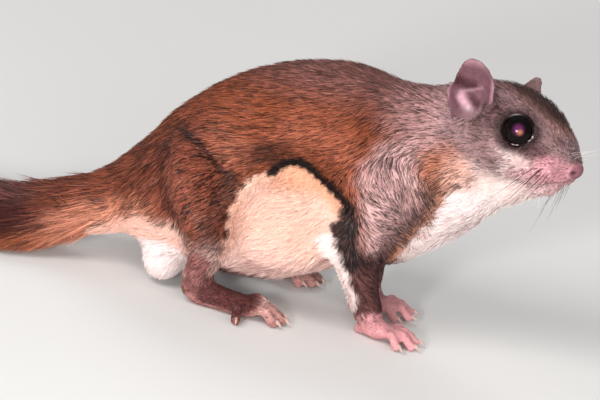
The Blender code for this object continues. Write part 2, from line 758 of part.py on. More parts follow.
def tail_brush():
    """The flat, plumed length of the tail: a core with rows of locks that sweep back."""
    shape = bmesh.new()
    rings = []
    for i in range(14):
        share, frame = tail_frame(i / 13)
        wide, high = between(TAIL_CORE, share)
        ring = []
        for k in range(16):
            angle = math.tau * k / 16
            point = frame @ Vector((0.0, wide * math.cos(angle), high * math.sin(angle)))
            point.z = max(point.z, 0.0)
            ring.append(shape.verts.new(point))
        rings.append(ring)
    close_rings(shape, rings)
    core = add_object("tail_brush", shape)

    locks = bpy.data.collections.new("locks")
    bpy.context.scene.collection.children.link(locks)
    for i in range(LOCK_STEPS):
        for angle, along in LOCK_RING:
            place = (i + along) / LOCK_STEPS
            share, frame = tail_frame(place)
            wide, high = between(TAIL_CORE, share)
            reach, rise = between(TAIL_SPREAD, share)
            for sign in (-1, 1) if angle != 90 else (0,):
                turn = math.radians(angle)
                out, up = math.cos(turn) * (sign or 0.0), math.sin(turn)
                root = Vector((0.0, out * wide * 0.55, up * high * 0.4))
                wander = 0.07 * math.sin(2.3 * i + 1.9 * angle + sign)
                tip = Vector((15.0 + 4.0 * wander / 0.07, out * reach * (1 + wander), up * rise * (1 + wander)))
                add_lock(locks, frame, root, tip)
    share, frame = tail_frame(1.0)
    for sign in (-0.8, -0.4, 0.0, 0.4, 0.8):
        add_lock(locks, frame, Vector((-3.0, sign * 2.6, 0.2)), Vector((11.0 - 4.0 * abs(sign), sign * 9.0, 0.0)))
    join = core.modifiers.new("join", "BOOLEAN")
    join.operation = "UNION"
    join.operand_type = "COLLECTION"
    join.collection = locks
    join.solver = "MANIFOLD"
    bake(core)
    remove(*list(locks.objects))
    bpy.data.collections.remove(locks)
    return largest(welded(core))


def finish(target, slot):
    """Shades a node smooth and gives it its finish."""
    target.data.materials.clear()
    target.data.materials.append(material(slot))
    target.data.shade_smooth()
    target.data.set_sharp_from_angle(angle=math.radians(50))


def settle(objects):
    """Moves every node so that the origin is the middle of the model's base."""
    corners = [vertex.co for one in objects for vertex in one.data.vertices]
    low = Vector(min(c[axis] for c in corners) for axis in range(3))
    high = Vector(max(c[axis] for c in corners) for axis in range(3))
    shift = Vector((-(low.x + high.x) / 2, -(low.y + high.y) / 2, -low.z))
    for one in objects:
        one.data.transform(Matrix.Translation(shift))


def main():
    """Builds every node of the squirrel."""
    for one in list(bpy.data.objects):
        bpy.data.objects.remove(one)
    head = head_frame()
    body = whole_body(head)

    nodes = {}
    eyes = {side: eyeball(side, head) for side in SIDES}
    for side in SIDES:
        rim = lid_ring(side, head)
        boolean(body, rim, "UNION")
        socket = grown(eyes[side], GAP)
        boolean(body, socket, "DIFFERENCE")
        remove(rim, socket)
        nodes[f"eye_{side}"] = (eyes[side], "eye")
    largest(body)

    for side in SIDES:
        solid, claws = hand(side)
        nodes[solid.name] = (solid, "pink_skin")
        for one in claws:
            nodes[one.name] = (one, "claw")
        clear = grown(solid, GAP)
        boolean(body, clear, "DIFFERENCE")
        remove(clear)
        solid, claws = foot(side)
        nodes[solid.name] = (solid, "pink_skin")
        for one in claws:
            nodes[one.name] = (one, "claw")
        clear = grown(solid, GAP)
        boolean(body, clear, "DIFFERENCE")
        remove(clear)
    largest(body)

    brush = tail_brush()
    clear = ahead_of((-66.9, 0, 10), (-1, -0.1, -0.45))
    tail_root_cut = carve(body, ahead_of((-54.0, 0, 18.5), (-1.0, -0.05, -0.45)), "tail_root")
    boolean(brush, clear, "INTERSECT")
    largest(welded(brush))
    far = grown(clear, GAP)
    largest(boolean(tail_root_cut, far, "DIFFERENCE"))
    remove(clear, far)
    nodes["tail_root"] = (tail_root_cut, "tail_fur")
    nodes["tail_brush"] = (brush, "tail_fur")

    for side in SIDES:
        band = skin_edge(side, SKIN_EDGE_CUT, "band")
        nodes[f"gliding_skin_{side}"] = (carve(body, band, f"gliding_skin_{side}"), "dark_edge_fur")

    skull = carve(body, ahead_of((33.5, -2.0, 55.0), (0.80, -0.12, 0.57)), "head")
    neck = carve(body, ahead_of((22.5, 0.0, 46.0), (0.955, 0.0, 0.295)), "neck")
    nodes["neck"] = (neck, "cream_fur")
    nodes["head"] = (skull, "grey_fur")

    slope = MOUTH_FRONT - MOUTH_CORNER
    turn = head @ turned_to(slope, MOUTH_CORNER)
    jaw = block("jaw_space", (12.0, 0, -12.0), (24.0, 30.0, 24.0), turn)
    nodes["lower_jaw"] = (carve(skull, jaw, "lower_jaw"), "cream_fur")
    pad = ball("nose_pad", NOSE_CENTRE, NOSE_RADII, head)
    for sign in SIDES.values():
        centre, radii, tilt = NOSTRIL
        pit = ball("nostril", (0, 0, 0), radii, head @ turned_to((1, 0.9 * sign, -0.2), (centre[0], centre[1] * sign, centre[2])) @ Matrix.Rotation(tilt * sign, 4, "X"))
        boolean(pad, pit, "DIFFERENCE")
        remove(pit)
    nose_space = ball("nose_space", NOSE_CENTRE, NOSE_RADII, head)
    clear = grown(nose_space, GAP)
    largest(boolean(skull, clear, "DIFFERENCE"))
    jaw_node = nodes["lower_jaw"][0]
    largest(boolean(jaw_node, clear, "DIFFERENCE"))
    remove(nose_space, clear)
    nodes["nose"] = (largest(pad), "pink_skin")
    pad.name = "nose"

    for side in SIDES:
        scoop = ear_scoop(side, head)
        largest(boolean(skull, scoop, "DIFFERENCE"))
        remove(scoop)
    clear = grown(skull, GAP)
    for side in SIDES:
        shell = ear(side, head)
        nodes[f"ear_{side}"] = (largest(boolean(shell, clear, "DIFFERENCE")), "pink_skin")
    remove(clear)

    for side, sign in SIDES.items():
        nodes[f"upper_arm_{side}"] = (
            carve(body, ball("region", (13.5, 18.5 * sign, 34.0), (10.5, 9.0, 15.5)), f"upper_arm_{side}"),
            "grey_fur",
        )
    puff = carve(body, ball("region", (-37.6, -9.8, 5.4), (7.8, 9.0, 7.8)), "rump_puff")
    nodes["rump_puff"] = (puff, "cream_fur")
    for side, sign in SIDES.items():
        nodes[f"forearm_{side}"] = (
            carve(body, forearm_region(side), f"forearm_{side}"),
            "grey_fur",
        )
        nodes[f"shank_{side}"] = (carve(body, shank_region(side), f"shank_{side}"), "brown_fur")
        nodes[f"thigh_{side}"] = (
            carve(body, ball("region", (-33.5, 21.5 * sign, 31.0), (15.0, 10.5, 19.0)), f"thigh_{side}"),
            "brown_fur",
        )
    chest = carve(body, ahead_of((-3.0, 0.0, 38.0), (1.0, 0.0, 0.1)), "chest")
    nodes["chest"] = (chest, "brown_fur")
    abdomen = carve(body, ahead_of((-30.0, 0.0, 32.0), (1.0, 0.0, 0.15)), "abdomen")
    nodes["abdomen"] = (abdomen, "brown_fur")
    body.name = "rump"
    nodes["rump"] = (body, "brown_fur")

    for name, (solid, slot) in nodes.items():
        solid.name = name
        if not name.startswith(("eye", "ear", "hand", "foot", "tail_brush")):
            solid.data.calc_loop_triangles()
            thin(solid, len(solid.data.loop_triangles) * KEPT.get(name, KEPT_ELSEWHERE))
        finish(solid, slot)
    settle([solid for solid, _ in nodes.values()])


def forearm_region(side):
    """The space that one forearm takes below its elbow."""
    rows = side_rows(FOREARM, SIDES[side], FORE_STEP[side])
    low = Vector(rows[-1][:3]) + Vector((0, 0, -8))
    wide = [(*row[:3], 6.6, 7.4) for row in rows[1:]] + [(*low, 6.6, 7.4)]
    return tube("region", wide, 8, 12, up=Vector((0, 1, 0)))


def shank_region(side):
    """The space that one lower hind leg takes above its heel."""
    rows = side_rows(SHANK, SIDES[side], HIND_STEP[side], 0.4)
    low = Vector(rows[-1][:3]) + Vector((0, 0, -8))
    wide = [(*row[:3], 7.0, 8.0) for row in rows[1:]] + [(*low, 7.0, 8.0)]
    return tube("region", wide, 8, 12, up=Vector((0, 1, 0)))


main()
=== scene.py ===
"""A flying squirrel on a pale studio floor: skin, coat, eyes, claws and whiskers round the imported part."""

import json
import logging
import math
from collections.abc import Callable, Iterator
from contextlib import contextmanager
from dataclasses import dataclass, field
from enum import Enum

import bpy
import numpy as np
from mathutils import Matrix, Vector
from mathutils.bvhtree import BVHTree
from mathutils.kdtree import KDTree

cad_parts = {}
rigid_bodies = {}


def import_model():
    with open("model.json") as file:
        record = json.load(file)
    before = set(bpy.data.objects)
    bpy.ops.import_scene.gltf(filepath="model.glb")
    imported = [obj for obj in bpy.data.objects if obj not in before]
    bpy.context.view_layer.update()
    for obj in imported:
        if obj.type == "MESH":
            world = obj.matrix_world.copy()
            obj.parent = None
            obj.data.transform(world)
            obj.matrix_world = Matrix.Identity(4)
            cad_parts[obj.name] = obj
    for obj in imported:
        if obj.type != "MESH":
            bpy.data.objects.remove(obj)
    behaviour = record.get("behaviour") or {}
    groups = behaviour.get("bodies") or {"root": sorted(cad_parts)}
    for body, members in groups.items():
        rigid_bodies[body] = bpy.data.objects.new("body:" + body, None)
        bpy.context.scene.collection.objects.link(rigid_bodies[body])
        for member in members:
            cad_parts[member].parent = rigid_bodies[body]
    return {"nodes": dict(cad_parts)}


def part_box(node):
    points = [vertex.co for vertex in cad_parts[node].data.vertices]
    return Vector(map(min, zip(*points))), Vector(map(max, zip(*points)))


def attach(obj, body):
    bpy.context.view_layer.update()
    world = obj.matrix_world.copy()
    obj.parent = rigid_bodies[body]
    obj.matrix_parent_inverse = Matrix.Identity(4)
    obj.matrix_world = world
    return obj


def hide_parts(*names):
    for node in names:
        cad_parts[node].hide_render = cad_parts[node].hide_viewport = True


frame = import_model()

LOG = logging.getLogger("flying_squirrel")
MM = 0.001
IMAGE_WIDTH = 600
IMAGE_HEIGHT = 400
TINY = 1e-9
FAR = 1e9
# Half the side of a blade's own patch in the bake's sheet.
BAKE_REACH = 0.0015


class Side(Enum):
    """The animal's two sides, as the sign of y."""

    RIGHT = -1
    LEFT = 1

    @property
    def label(self) -> str:
        """The side's name as the nodes spell it."""
        return self.name.lower()


class Tone(Enum):
    """Colours of the coat and skin, as linear red, green and blue."""

    RUSSET = (0.29, 0.072, 0.03)
    # Painted sheen: a paler, greyer tone along the top of the back, where light glances off the coat.
    RIDGE = (0.29, 0.13, 0.118)
    NAPE = (0.47, 0.25, 0.245)
    SHOULDER = (0.68, 0.41, 0.4)
    FLANK_ORANGE = (0.4, 0.118, 0.064)
    RUMP_BROWN = (0.19, 0.042, 0.024)
    RUMP_PINK = (0.97, 0.6, 0.5)
    THIGH = (0.27, 0.068, 0.038)
    LEG_BAND = (0.12, 0.032, 0.018)
    SHANK = (0.29, 0.1, 0.095)
    CREAM = (0.93, 0.59, 0.48)
    PEACH = (0.68, 0.37, 0.29)
    CREAM_EDGE = (0.88, 0.43, 0.26)
    CREAM_LOW = (0.92, 0.62, 0.56)
    WHITE = (0.93, 0.78, 0.765)
    # Painted shadow: the near-black line under the gliding skin's raised edge.
    BLACK_EDGE = (0.022, 0.010, 0.009)
    ELBOW = (0.024, 0.011, 0.011)
    ARM = (0.095, 0.03, 0.028)
    ARM_PALE = (0.97, 0.79, 0.76)
    TAN = (0.5, 0.2, 0.11)
    NECK_TAN = (0.42, 0.14, 0.075)
    FACE = (0.32, 0.19, 0.195)
    # A dark crown marking, deepened with painted shade where light falls off towards the head's outline.
    FOREHEAD = (0.042, 0.017, 0.015)
    CROWN = (0.42, 0.2, 0.2)
    BRIDGE = (0.28, 0.18, 0.185)
    EYE_RING = (0.040, 0.018, 0.020)
    CHEEK = (0.34, 0.195, 0.2)
    CHEEK_WHITE = (0.92, 0.740, 0.700)
    CHEEK_SPOT = (0.15, 0.090, 0.088)
    MUZZLE = (0.68, 0.32, 0.36)
    NOSE = (0.23, 0.09, 0.11)
    CHIN = (0.70, 0.480, 0.470)
    EAR = (0.15, 0.066, 0.082)
    EAR_BACK = (0.16, 0.085, 0.080)
    # Painted shade in the folds of the ear.
    EAR_DARK = (0.045, 0.011, 0.012)
    # Pale ear skin brightened with painted highlight, for the raised lobe, its ridge and the rim.
    EAR_PALE = (0.62, 0.35, 0.42)
    PINK_SKIN = (0.68, 0.31, 0.32)
    TAIL_TOP = (0.15, 0.052, 0.046)
    TAIL_SIDE = (0.075, 0.017, 0.014)
    TAIL_LOW = (0.33, 0.095, 0.042)
    TAIL_BASE = (0.23, 0.058, 0.03)
    TAIL_PEACH = (0.62, 0.24, 0.15)
    # Painted shade in the groove between the shoulder and the throat.
    FURROW = (0.09, 0.032, 0.026)
    CHEEK_PINK = (0.78, 0.44, 0.46)
    BROW = (0.36, 0.16, 0.125)
    EAR_SHADOW = (0.17, 0.05, 0.1)
    EYE_SHADE = (0.1, 0.042, 0.046)
    # Painted shade in the creases of the haunch and flank.
    CREASE = (0.03, 0.011, 0.009)
    FOOT = (0.1, 0.023, 0.021)
    MOUTH = (0.045, 0.012, 0.016)
    LIP = (0.86, 0.74, 0.72)
    LID = (0.012, 0.006, 0.007)
    LID_GLINT = (0.62, 0.50, 0.51)

    @property
    def rgb(self) -> np.ndarray:
        """The colour as an array."""
        return np.array(self.value)


@dataclass(frozen=True)
class Cut:
    """How a blade of hair is cut: pairs of corners up its length, and a tip."""

    steps: tuple
    widths: tuple

    def places(self) -> np.ndarray:
        """Each corner's share of the length."""
        return np.array([step for step in self.steps for _ in range(2)] + [1.0])

    def faces(self) -> tuple:
        """The corners of each face."""
        pairs = len(self.steps)
        quads = [(2 * k, 2 * k + 1, 2 * k + 3, 2 * k + 2) for k in range(pairs - 1)]
        return (*quads, (2 * pairs - 2, 2 * pairs - 1, 2 * pairs))


SHORT_CUT = Cut((0.0, 0.52), (0.85, 1.0))
LONG_CUT = Cut((0.0, 0.36, 0.72), (0.75, 1.0, 0.72))
# Shares of a hair's length at which its shades are given.
SHADE_STEPS = (0.0, 0.36, 0.72, 1.0)


def smooth(low: float, high: float, value: np.ndarray) -> np.ndarray:
    """A soft step from 0 at low to 1 at high."""
    share = np.clip((value - low) / (high - low), 0.0, 1.0)
    return share * share * (3.0 - 2.0 * share)


def unit(vectors: np.ndarray) -> np.ndarray:
    """Rows of vectors at length one."""
    return vectors / np.maximum(np.linalg.norm(vectors, axis=-1, keepdims=True), TINY)


def mix(base: np.ndarray, other: np.ndarray, share: np.ndarray) -> np.ndarray:
    """Values turned towards others by a share."""
    return base * (1.0 - share) + other * share


def bell(value: np.ndarray, width: float) -> np.ndarray:
    """A soft peak of one where the value is nought."""
    return np.exp(-((value / width) ** 2))


def apart(points: np.ndarray, centre: tuple, sizes: tuple | float = 1.0) -> np.ndarray:
    """How far points lie from a centre, measured in sizes."""
    return np.linalg.norm((points - np.array(centre)) / np.array(sizes), axis=1)


def lying_on(vectors: np.ndarray, normals: np.ndarray) -> np.ndarray:
    """Vectors without their part along the normals."""
    return vectors - normals * (vectors * normals).sum(axis=1, keepdims=True)


def one_sided(points: np.ndarray, side: Side) -> np.ndarray:
    """Points with the other side's folded onto this one."""
    folded = points.copy()
    folded[:, 1] = np.abs(folded[:, 1]) * side.value
    return folded


def through(points: tuple, count: int) -> np.ndarray:
    """A smooth curve through rows of numbers.

    Args:
        points: The rows it passes through.
        count: How many evenly spaced rows to read.

    Returns:
        The rows read.
    """
    rows = np.array(points, float)
    rows = np.vstack([rows[0] * 2 - rows[1], rows, rows[-1] * 2 - rows[-2]])
    place = np.linspace(0.0, len(rows) - 3, count)
    span = np.minimum(place.astype(int), len(rows) - 4)
    t = (place - span)[:, None]
    a, b, c, d = (rows[span + k] for k in range(4))
    bend = (a * 2 - b * 5 + c * 4 - d) * (t * t / 2)
    return b + (c - a) * (t / 2) + bend + (b * 3 - a - c * 3 + d) * (t * t * t / 2)


def between(table: tuple, places: np.ndarray) -> np.ndarray:
    """Values of a table whose first column is a share of a length.

    Args:
        table: Rows of share and values.
        places: The shares to read at.

    Returns:
        One row of values for each place.
    """
    rows = np.array(table, float)
    columns = [np.interp(places, rows[:, 0], rows[:, k]) for k in range(1, rows.shape[1])]
    return np.stack(columns, axis=-1)


@dataclass(frozen=True)
class Posture:
    """Where the animal's own drawing, in millimetres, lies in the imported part.

    Its origin is on the floor under the body, x runs to the nose and y to the left.
    """

    head_centre: tuple = (51.0, -6.5, 65.4)
    head_yaw: float = math.radians(-25)
    head_pitch: float = math.radians(7)
    head_lean: float = math.radians(15)
    eye_place: tuple = (-0.5, 8.9, -1.4)
    eye_look: tuple = (0.26, 1.0, 0.22)

    def head(self) -> Matrix:
        """The head's frame, whose origin lies midway between the eyes."""
        turn = Matrix.Rotation(self.head_yaw, 4, "Z") @ Matrix.Rotation(self.head_pitch, 4, "Y")
        turn = turn @ Matrix.Rotation(-self.head_lean, 4, "X")
        return Matrix.Translation(Vector(self.head_centre)) @ turn

    def shift(self) -> np.ndarray:
        """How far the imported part's frame lies from the drawing's, read from the near eye."""
        low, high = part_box("eye_right")
        return np.array((low + high) / 2) / MM - self.eye_middle(Side.RIGHT)

    def eye_middle(self, side: Side) -> np.ndarray:
        """The middle of one eyeball in the drawing."""
        x, y, z = self.eye_place
        return np.array(self.head() @ Vector((x, y * side.value, z)))

    def eye_reach(self, local: np.ndarray) -> np.ndarray:
        """How far points of the head's frame lie from the nearer eye's line of sight.

        Args:
            local: Points in millimetres.

        Returns:
            A distance for each, longer behind the eye.
        """
        away = one_sided(local, Side.LEFT) - np.array(self.eye_place)
        look = unit(np.array(self.eye_look))
        along = away @ look
        reach = np.linalg.norm(away - along[:, None] * look, axis=1)
        return np.where(along > -2.5, reach, reach + 8.0)

    def to_head(self, points: np.ndarray) -> np.ndarray:
        """Points of the drawing in the head's frame."""
        turn = np.array(self.head().to_3x3())
        return (points - np.array(self.head_centre)) @ turn

    def from_head(self, points: np.ndarray) -> np.ndarray:
        """Points of the head's frame in the drawing."""
        turn = np.array(self.head().to_3x3())
        return np.asarray(points, float) @ turn.T + np.array(self.head_centre)

    def turned(self, vectors: np.ndarray) -> np.ndarray:
        """Directions of the head's frame in the drawing."""
        turn = np.array(self.head().to_3x3())
        return np.asarray(vectors, float) @ turn.T


POSTURE = Posture()
SHIFT = POSTURE.shift()


@dataclass(frozen=True)
class Region:
    """How the coat grows on one part of the body, in millimetres."""

    depth: float
    hair: float
    lie: tuple
    density: float
    width: float
    bare: float = 0.0
    follow: float = 0.92


REGIONS = {
    "abdomen": Region(2.2, 6.6, (-1.0, 0.0, -0.34), 4.3, 0.30),
    "chest": Region(2.1, 6.2, (-0.74, 0.0, -0.62), 4.8, 0.29),
    "neck": Region(1.9, 5.2, (-0.88, 0.0, -0.42), 6.0, 0.27),
    "rump": Region(2.1, 6.2, (-0.82, 0.0, -0.55), 4.6, 0.30),
    "rump_puff": Region(2.0, 5.4, (-0.4, 0.0, -0.9), 7.0, 0.26, 0.0, 0.8),
    "thigh": Region(1.8, 5.4, (-0.7, 0.0, -0.72), 5.2, 0.29),
    "shank": Region(0.9, 2.8, (-0.1, 0.0, -1.0), 9.0, 0.23),
    "upper_arm": Region(1.5, 4.8, (0.74, 0.0, -0.67), 6.0, 0.27),
    "forearm": Region(0.9, 2.8, (0.45, 0.0, -0.88), 9.0, 0.22),
    "gliding_skin": Region(1.0, 3.2, (-0.75, 0.0, -0.66), 7.6, 0.25, 0.0, 0.85),
    "head": Region(1.0, 2.7, (-1.0, 0.0, 0.0), 10.5, 0.20),
    "lower_jaw": Region(0.6, 1.9, (-1.0, 0.0, -0.2), 10.0, 0.18, 0.25),
    "ear": Region(0.0, 0.9, (0.0, 0.0, 1.0), 3.0, 0.13, 1.0),
    "nose": Region(0.0, 0.3, (-1.0, 0.0, 0.0), 0.0, 0.10, 1.0),
    "hand": Region(0.10, 0.8, (0.95, 0.0, -0.3), 2.2, 0.12, 0.95),
    "foot": Region(0.12, 1.3, (0.98, 0.0, -0.2), 9.0, 0.17, 0.6),
    "tail_root": Region(2.0, 7.2, (-0.92, 0.0, -0.38), 5.6, 0.28, 0.0, 0.85),
    "tail_brush": Region(0.5, 9.0, (-1.0, 0.0, 0.0), 0.6, 0.30),
}


def region_of(node: str) -> Region:
    """The coat's region for a node's name, without its side."""
    return REGIONS[node.replace("_right", "").replace("_left", "")]


@dataclass(frozen=True)
class Patch:
    """One marking: its tone, the points that place it, and how far it reaches and fades."""

    tone: Tone
    points: tuple
    reach: tuple
    strength: float = 1.0
    within: bool = False


@dataclass(frozen=True)
class Ball(Patch):
    """A marking round a point, whose reach is three sizes and a softness."""

    def mask(self, places: np.ndarray) -> np.ndarray:
        """How much each place takes this marking."""
        soft = self.reach[3]
        away = apart(places, self.points, self.reach[:3])
        return self.strength * (1.0 - smooth(1.0 - soft, 1.0 + soft, away))


@dataclass(frozen=True)
class Band(Patch):
    """A marking along a line seen from the side, whose reach is a half width and a softness."""

    def edges(self) -> list:
        """Both ends of each of the line's pieces."""
        corners = np.array(self.points, float)
        return list(zip(corners[:-1], corners[1:]))

    def gap(self, flat: np.ndarray) -> np.ndarray:
        """How far points lie from the line.

        Args:
            flat: Points as x and z.

        Returns:
            A distance for each.
        """
        nearest = np.full(len(flat), FAR)
        for a, b in self.edges():
            along = np.clip(((flat - a) @ (b - a)) / max((b - a) @ (b - a), TINY), 0.0, 1.0)
            nearest = np.minimum(nearest, np.linalg.norm(flat - a - along[:, None] * (b - a), axis=1))
        return nearest

    def mask(self, places: np.ndarray) -> np.ndarray:
        """How much each place takes this marking."""
        radius, soft = self.reach
        return self.strength * (1.0 - smooth(radius - soft, radius + soft, self.gap(places[:, (0, 2)])))


@dataclass(frozen=True)
class Outline(Band):
    """A marking filled in seen from the side, whose reach is a softness."""

    def edges(self) -> list:
        """Both ends of each of the closed outline's pieces."""
        corners = np.array(self.points, float)
        return list(zip(corners, np.roll(corners, -1, axis=0)))

    def inside(self, flat: np.ndarray) -> np.ndarray:
        """Which points lie inside the outline.

        Args:
            flat: Points as x and z.

        Returns:
            Whether each is inside.
        """
        inside = np.zeros(len(flat), bool)
        for a, b in self.edges():
            if abs(b[1] - a[1]) > TINY:
                crossed = (flat[:, 1] < a[1]) != (flat[:, 1] < b[1])
                crossed &= flat[:, 0] < a[0] + (flat[:, 1] - a[1]) * (b[0] - a[0]) / (b[1] - a[1])
                inside ^= crossed
        return inside

    def mask(self, places: np.ndarray) -> np.ndarray:
        """How much each place takes this marking."""
        flat = places[:, (0, 2)]
        gap, soft = self.gap(flat), self.reach[0]
        return self.strength * smooth(-soft, soft, np.where(self.inside(flat), gap, -gap))


# The pale hollow under the gliding skin, and the line of painted shadow along its upper edge under the
# gliding skin's rim, as x and z.
HOLLOW = (
    (-21.5, 7.6), (-21.6, 14), (-21, 21), (-21.3, 29.7), (-20.2, 34), (-19.1, 37.7),
    (-15.2, 40.9), (-13.1, 42.5), (-10.5, 44.7), (-8.9, 45.9), (-5.1, 46.2), (-2.6, 44.3), (0.6, 42),
    (3.8, 40.6), (5.6, 37.9), (8.1, 35.7), (6.6, 32.3), (5.4, 28.4), (6.1, 24.6), (9.4, 21),
    (10.8, 17.3), (13.1, 13.5), (15, 7.6),
)
ARCH_RIM = (
    (-13.2, 41.9), (-11.4, 43.6), (-9.8, 45.2), (-6.9, 46.3), (-4.1, 46), (-1.9, 44.8), (0.7, 43.4),
    (3, 42.1), (5.3, 40.4), (7.1, 38.8), (8.9, 36.8),
)
# Where the coat of the shoulder and arm lies forward and down, as x and z.
ARM_FLOW = (
    (9.5, 40), (9.5, 47), (13, 52), (20, 54), (26.5, 51), (29, 45), (26.5, 36),
    (22.5, 27), (20.5, 20), (21.5, 9), (13.5, 10), (12, 20), (12, 31),
)
# The long pale hair along the back of the forearm, as x and z.
CUFF = ((5.6, 24), (8.6, 18), (12.4, 10))
# The edge between the shoulder's brown and the throat's white, as x and z.
NECK_SEAM = ((34.6, 51), (32.6, 45.6), (30.8, 40.3), (27.9, 34.5), (24.5, 28.7), (21.9, 22.6))
# The crease of the haunch over the flank, as x and z.
HAUNCH_FOLD = (
    (-42.2, 43.6), (-40, 44.6), (-37.7, 44.5), (-34, 43.6), (-30.2, 42), (-26, 40.2), (-23, 38.6),
)
BODY_PATCHES = (
    # Painted sheen along the top of the back.
    Ball(Tone.RIDGE, (-4, 0, 72), (60, 24, 12, 0.5), 0.8),
    Ball(Tone.NAPE, (25, -6, 61), (13, 16, 11, 0.5), 0.9),
    Band(Tone.FLANK_ORANGE, ((8, 44), (6, 50), (-1, 53.5), (-9, 52)), (4.6, 4.4), 0.9),
    Outline(
        Tone.SHOULDER, ((9.5, 42), (9, 48), (13, 54), (21, 57), (29, 51), (31, 44),
        (28, 35), (23, 25), (17, 19), (13, 23), (13.5, 31), (11.5, 37)), (2.4,), 0.9,
    ),
    Ball(Tone.RUMP_BROWN, (-42, -14, 40), (13, 18, 15, 0.45), 0.7),
    Ball(Tone.THIGH, (-31, -24, 30), (10, 12, 15, 0.4), 0.8),
    Band(Tone.TAIL_BASE, ((-50, 27), (-57, 22.5), (-66, 17)), (5, 3.5), 0.85),
    Band(Tone.TAIL_PEACH, ((-68, 6.5), (-58, 11), (-50, 15.5), (-45, 19)), (4.4, 3.2), 0.95),
    Band(
        Tone.RUMP_PINK, ((-57, 5.5), (-50, 9.5), (-43.5, 14.5), (-36, 16), (-32.5, 10)),
        (4.4, 2.6), 0.95,
    ),
    Band(Tone.LEG_BAND, ((-25, 44.5), (-18, 44.6), (-13, 46.2), (-10, 48)), (1.9, 2), 0.85),
    # Painted shade in the creases above the gliding skin's edge.
    Band(Tone.CREASE, ((-22.5, 45.6), (-18, 46.2), (-14, 46.9)), (0.6, 0.7), 0.85),
    Band(Tone.CREASE, ((-19, 42.8), (-15.6, 44.4), (-12.4, 45.6)), (0.5, 0.7), 0.7),
    Band(
        Tone.LEG_BAND, ((-22.8, 37), (-24.6, 31), (-25, 24), (-25, 17), (-26, 10)),
        (2.8, 1.3), 0.9,
    ),
    Outline(Tone.CREAM, HOLLOW, (0.7,)),
    Ball(Tone.CREAM_EDGE, (-4, -24, 43.5), (13, 9, 5.6, 0.7), 0.85, True),
    Band(Tone.CREAM_EDGE, ((-0.5, 42.5), (4, 39), (6.6, 35)), (1.6, 1.6), 0.7, True),
    Band(Tone.CREAM_EDGE, ((-19.5, 36), (-20, 28), (-20.4, 18)), (0.6, 1.6), 0.5, True),
    Ball(Tone.CREAM_LOW, (-8, -14, 11), (24, 22, 9, 0.6), 0.85),
    Ball(Tone.CREAM_LOW, (5, 0, 13), (34, 9.5, 9, 0.15)),
    Band(Tone.SHANK, ((-27, 12), (-26.5, 7), (-20, 5.6), (-13, 5.2)), (3.6, 1.2), 0.95),
    Ball(Tone.FLANK_ORANGE, (-25, -20, 43.8), (6, 8, 4.6, 0.6), 0.8),
    # Painted shade in the haunch's crease over the flank.
    Band(Tone.CREASE, HAUNCH_FOLD, (0.8, 0.8), 0.97),
    Ball(Tone.RUSSET, (-42, 0, 45), (11, 10.5, 9, 0.3), 0.97),
    # Painted shade in a short crease at the rump.
    Band(Tone.CREASE, ((-41.6, 42.6), (-40.2, 38.6)), (0.7, 1), 0.6),
    Band(Tone.FOOT, ((-23, 4), (-18, 5), (-13, 5)), (3, 1.4), 0.95),
    Ball(Tone.WHITE, (-37.6, -9.6, 6.6), (8.2, 9.6, 7.8, 0.14), 1),
    Band(Tone.NECK_TAN, ((27, 51), (26.6, 45)), (3, 3), 0.6),
    # Painted shade in the groove between the shoulder and the throat.
    Band(Tone.FURROW, ((28.4, 45.5), (26, 38), (22, 30), (18.8, 22)), (2.8, 2.6), 0.85),
    Band(Tone.ARM, ((14.4, 21.5), (17.6, 15.6), (18.4, 9.6)), (4.4, 1.2), 0.95),
    Band(Tone.ELBOW, ((8.6, 36.4), (9.8, 33.4), (9.4, 30)), (2.2, 1), 0.95),
    Band(Tone.ELBOW, ((8.8, 30), (9.2, 26.6), (11.4, 22.8)), (3.6, 0.9), 0.95),
    Band(Tone.ARM_PALE, ((4.6, 25), (7.2, 20.4), (10, 15.5), (12.8, 10)), (2.9, 0.9), 0.97),
    # Painted shadow under the gliding skin's raised edge.
    Band(Tone.BLACK_EDGE, ARCH_RIM, (1.05, 0.45)),
    Ball(Tone.NECK_TAN, (29.6, -14, 51.4), (5.8, 9, 5.6, 0.6), 0.9),
    Ball(Tone.SHOULDER, (26.4, -10.4, 60.2), (4.6, 6, 4.8, 0.6), 0.5),
    Band(
        Tone.TAN, ((34, 51.6), (32, 46), (30.4, 40.5), (27.6, 34.6), (24.2, 28.6), (21.9, 23)),
        (1.5, 1.4), 0.85,
    ),
    Outline(
        Tone.WHITE, ((35, 49.4), (33.2, 45.5), (31.6, 40.5), (28.4, 34.4), (25, 28.6), (22.5, 22.8),
        (22.4, 18), (26.5, 7), (70, 8), (70, 62), (54, 57), (41, 52.6)), (1.2,),
    ),
    Ball(Tone.PEACH, (34, -13.4, 50.6), (4, 6, 4.4, 0.6), 0.8),
    Ball(Tone.PINK_SKIN, (26, -16, 1), (14, 16, 8, 0.12)),
)
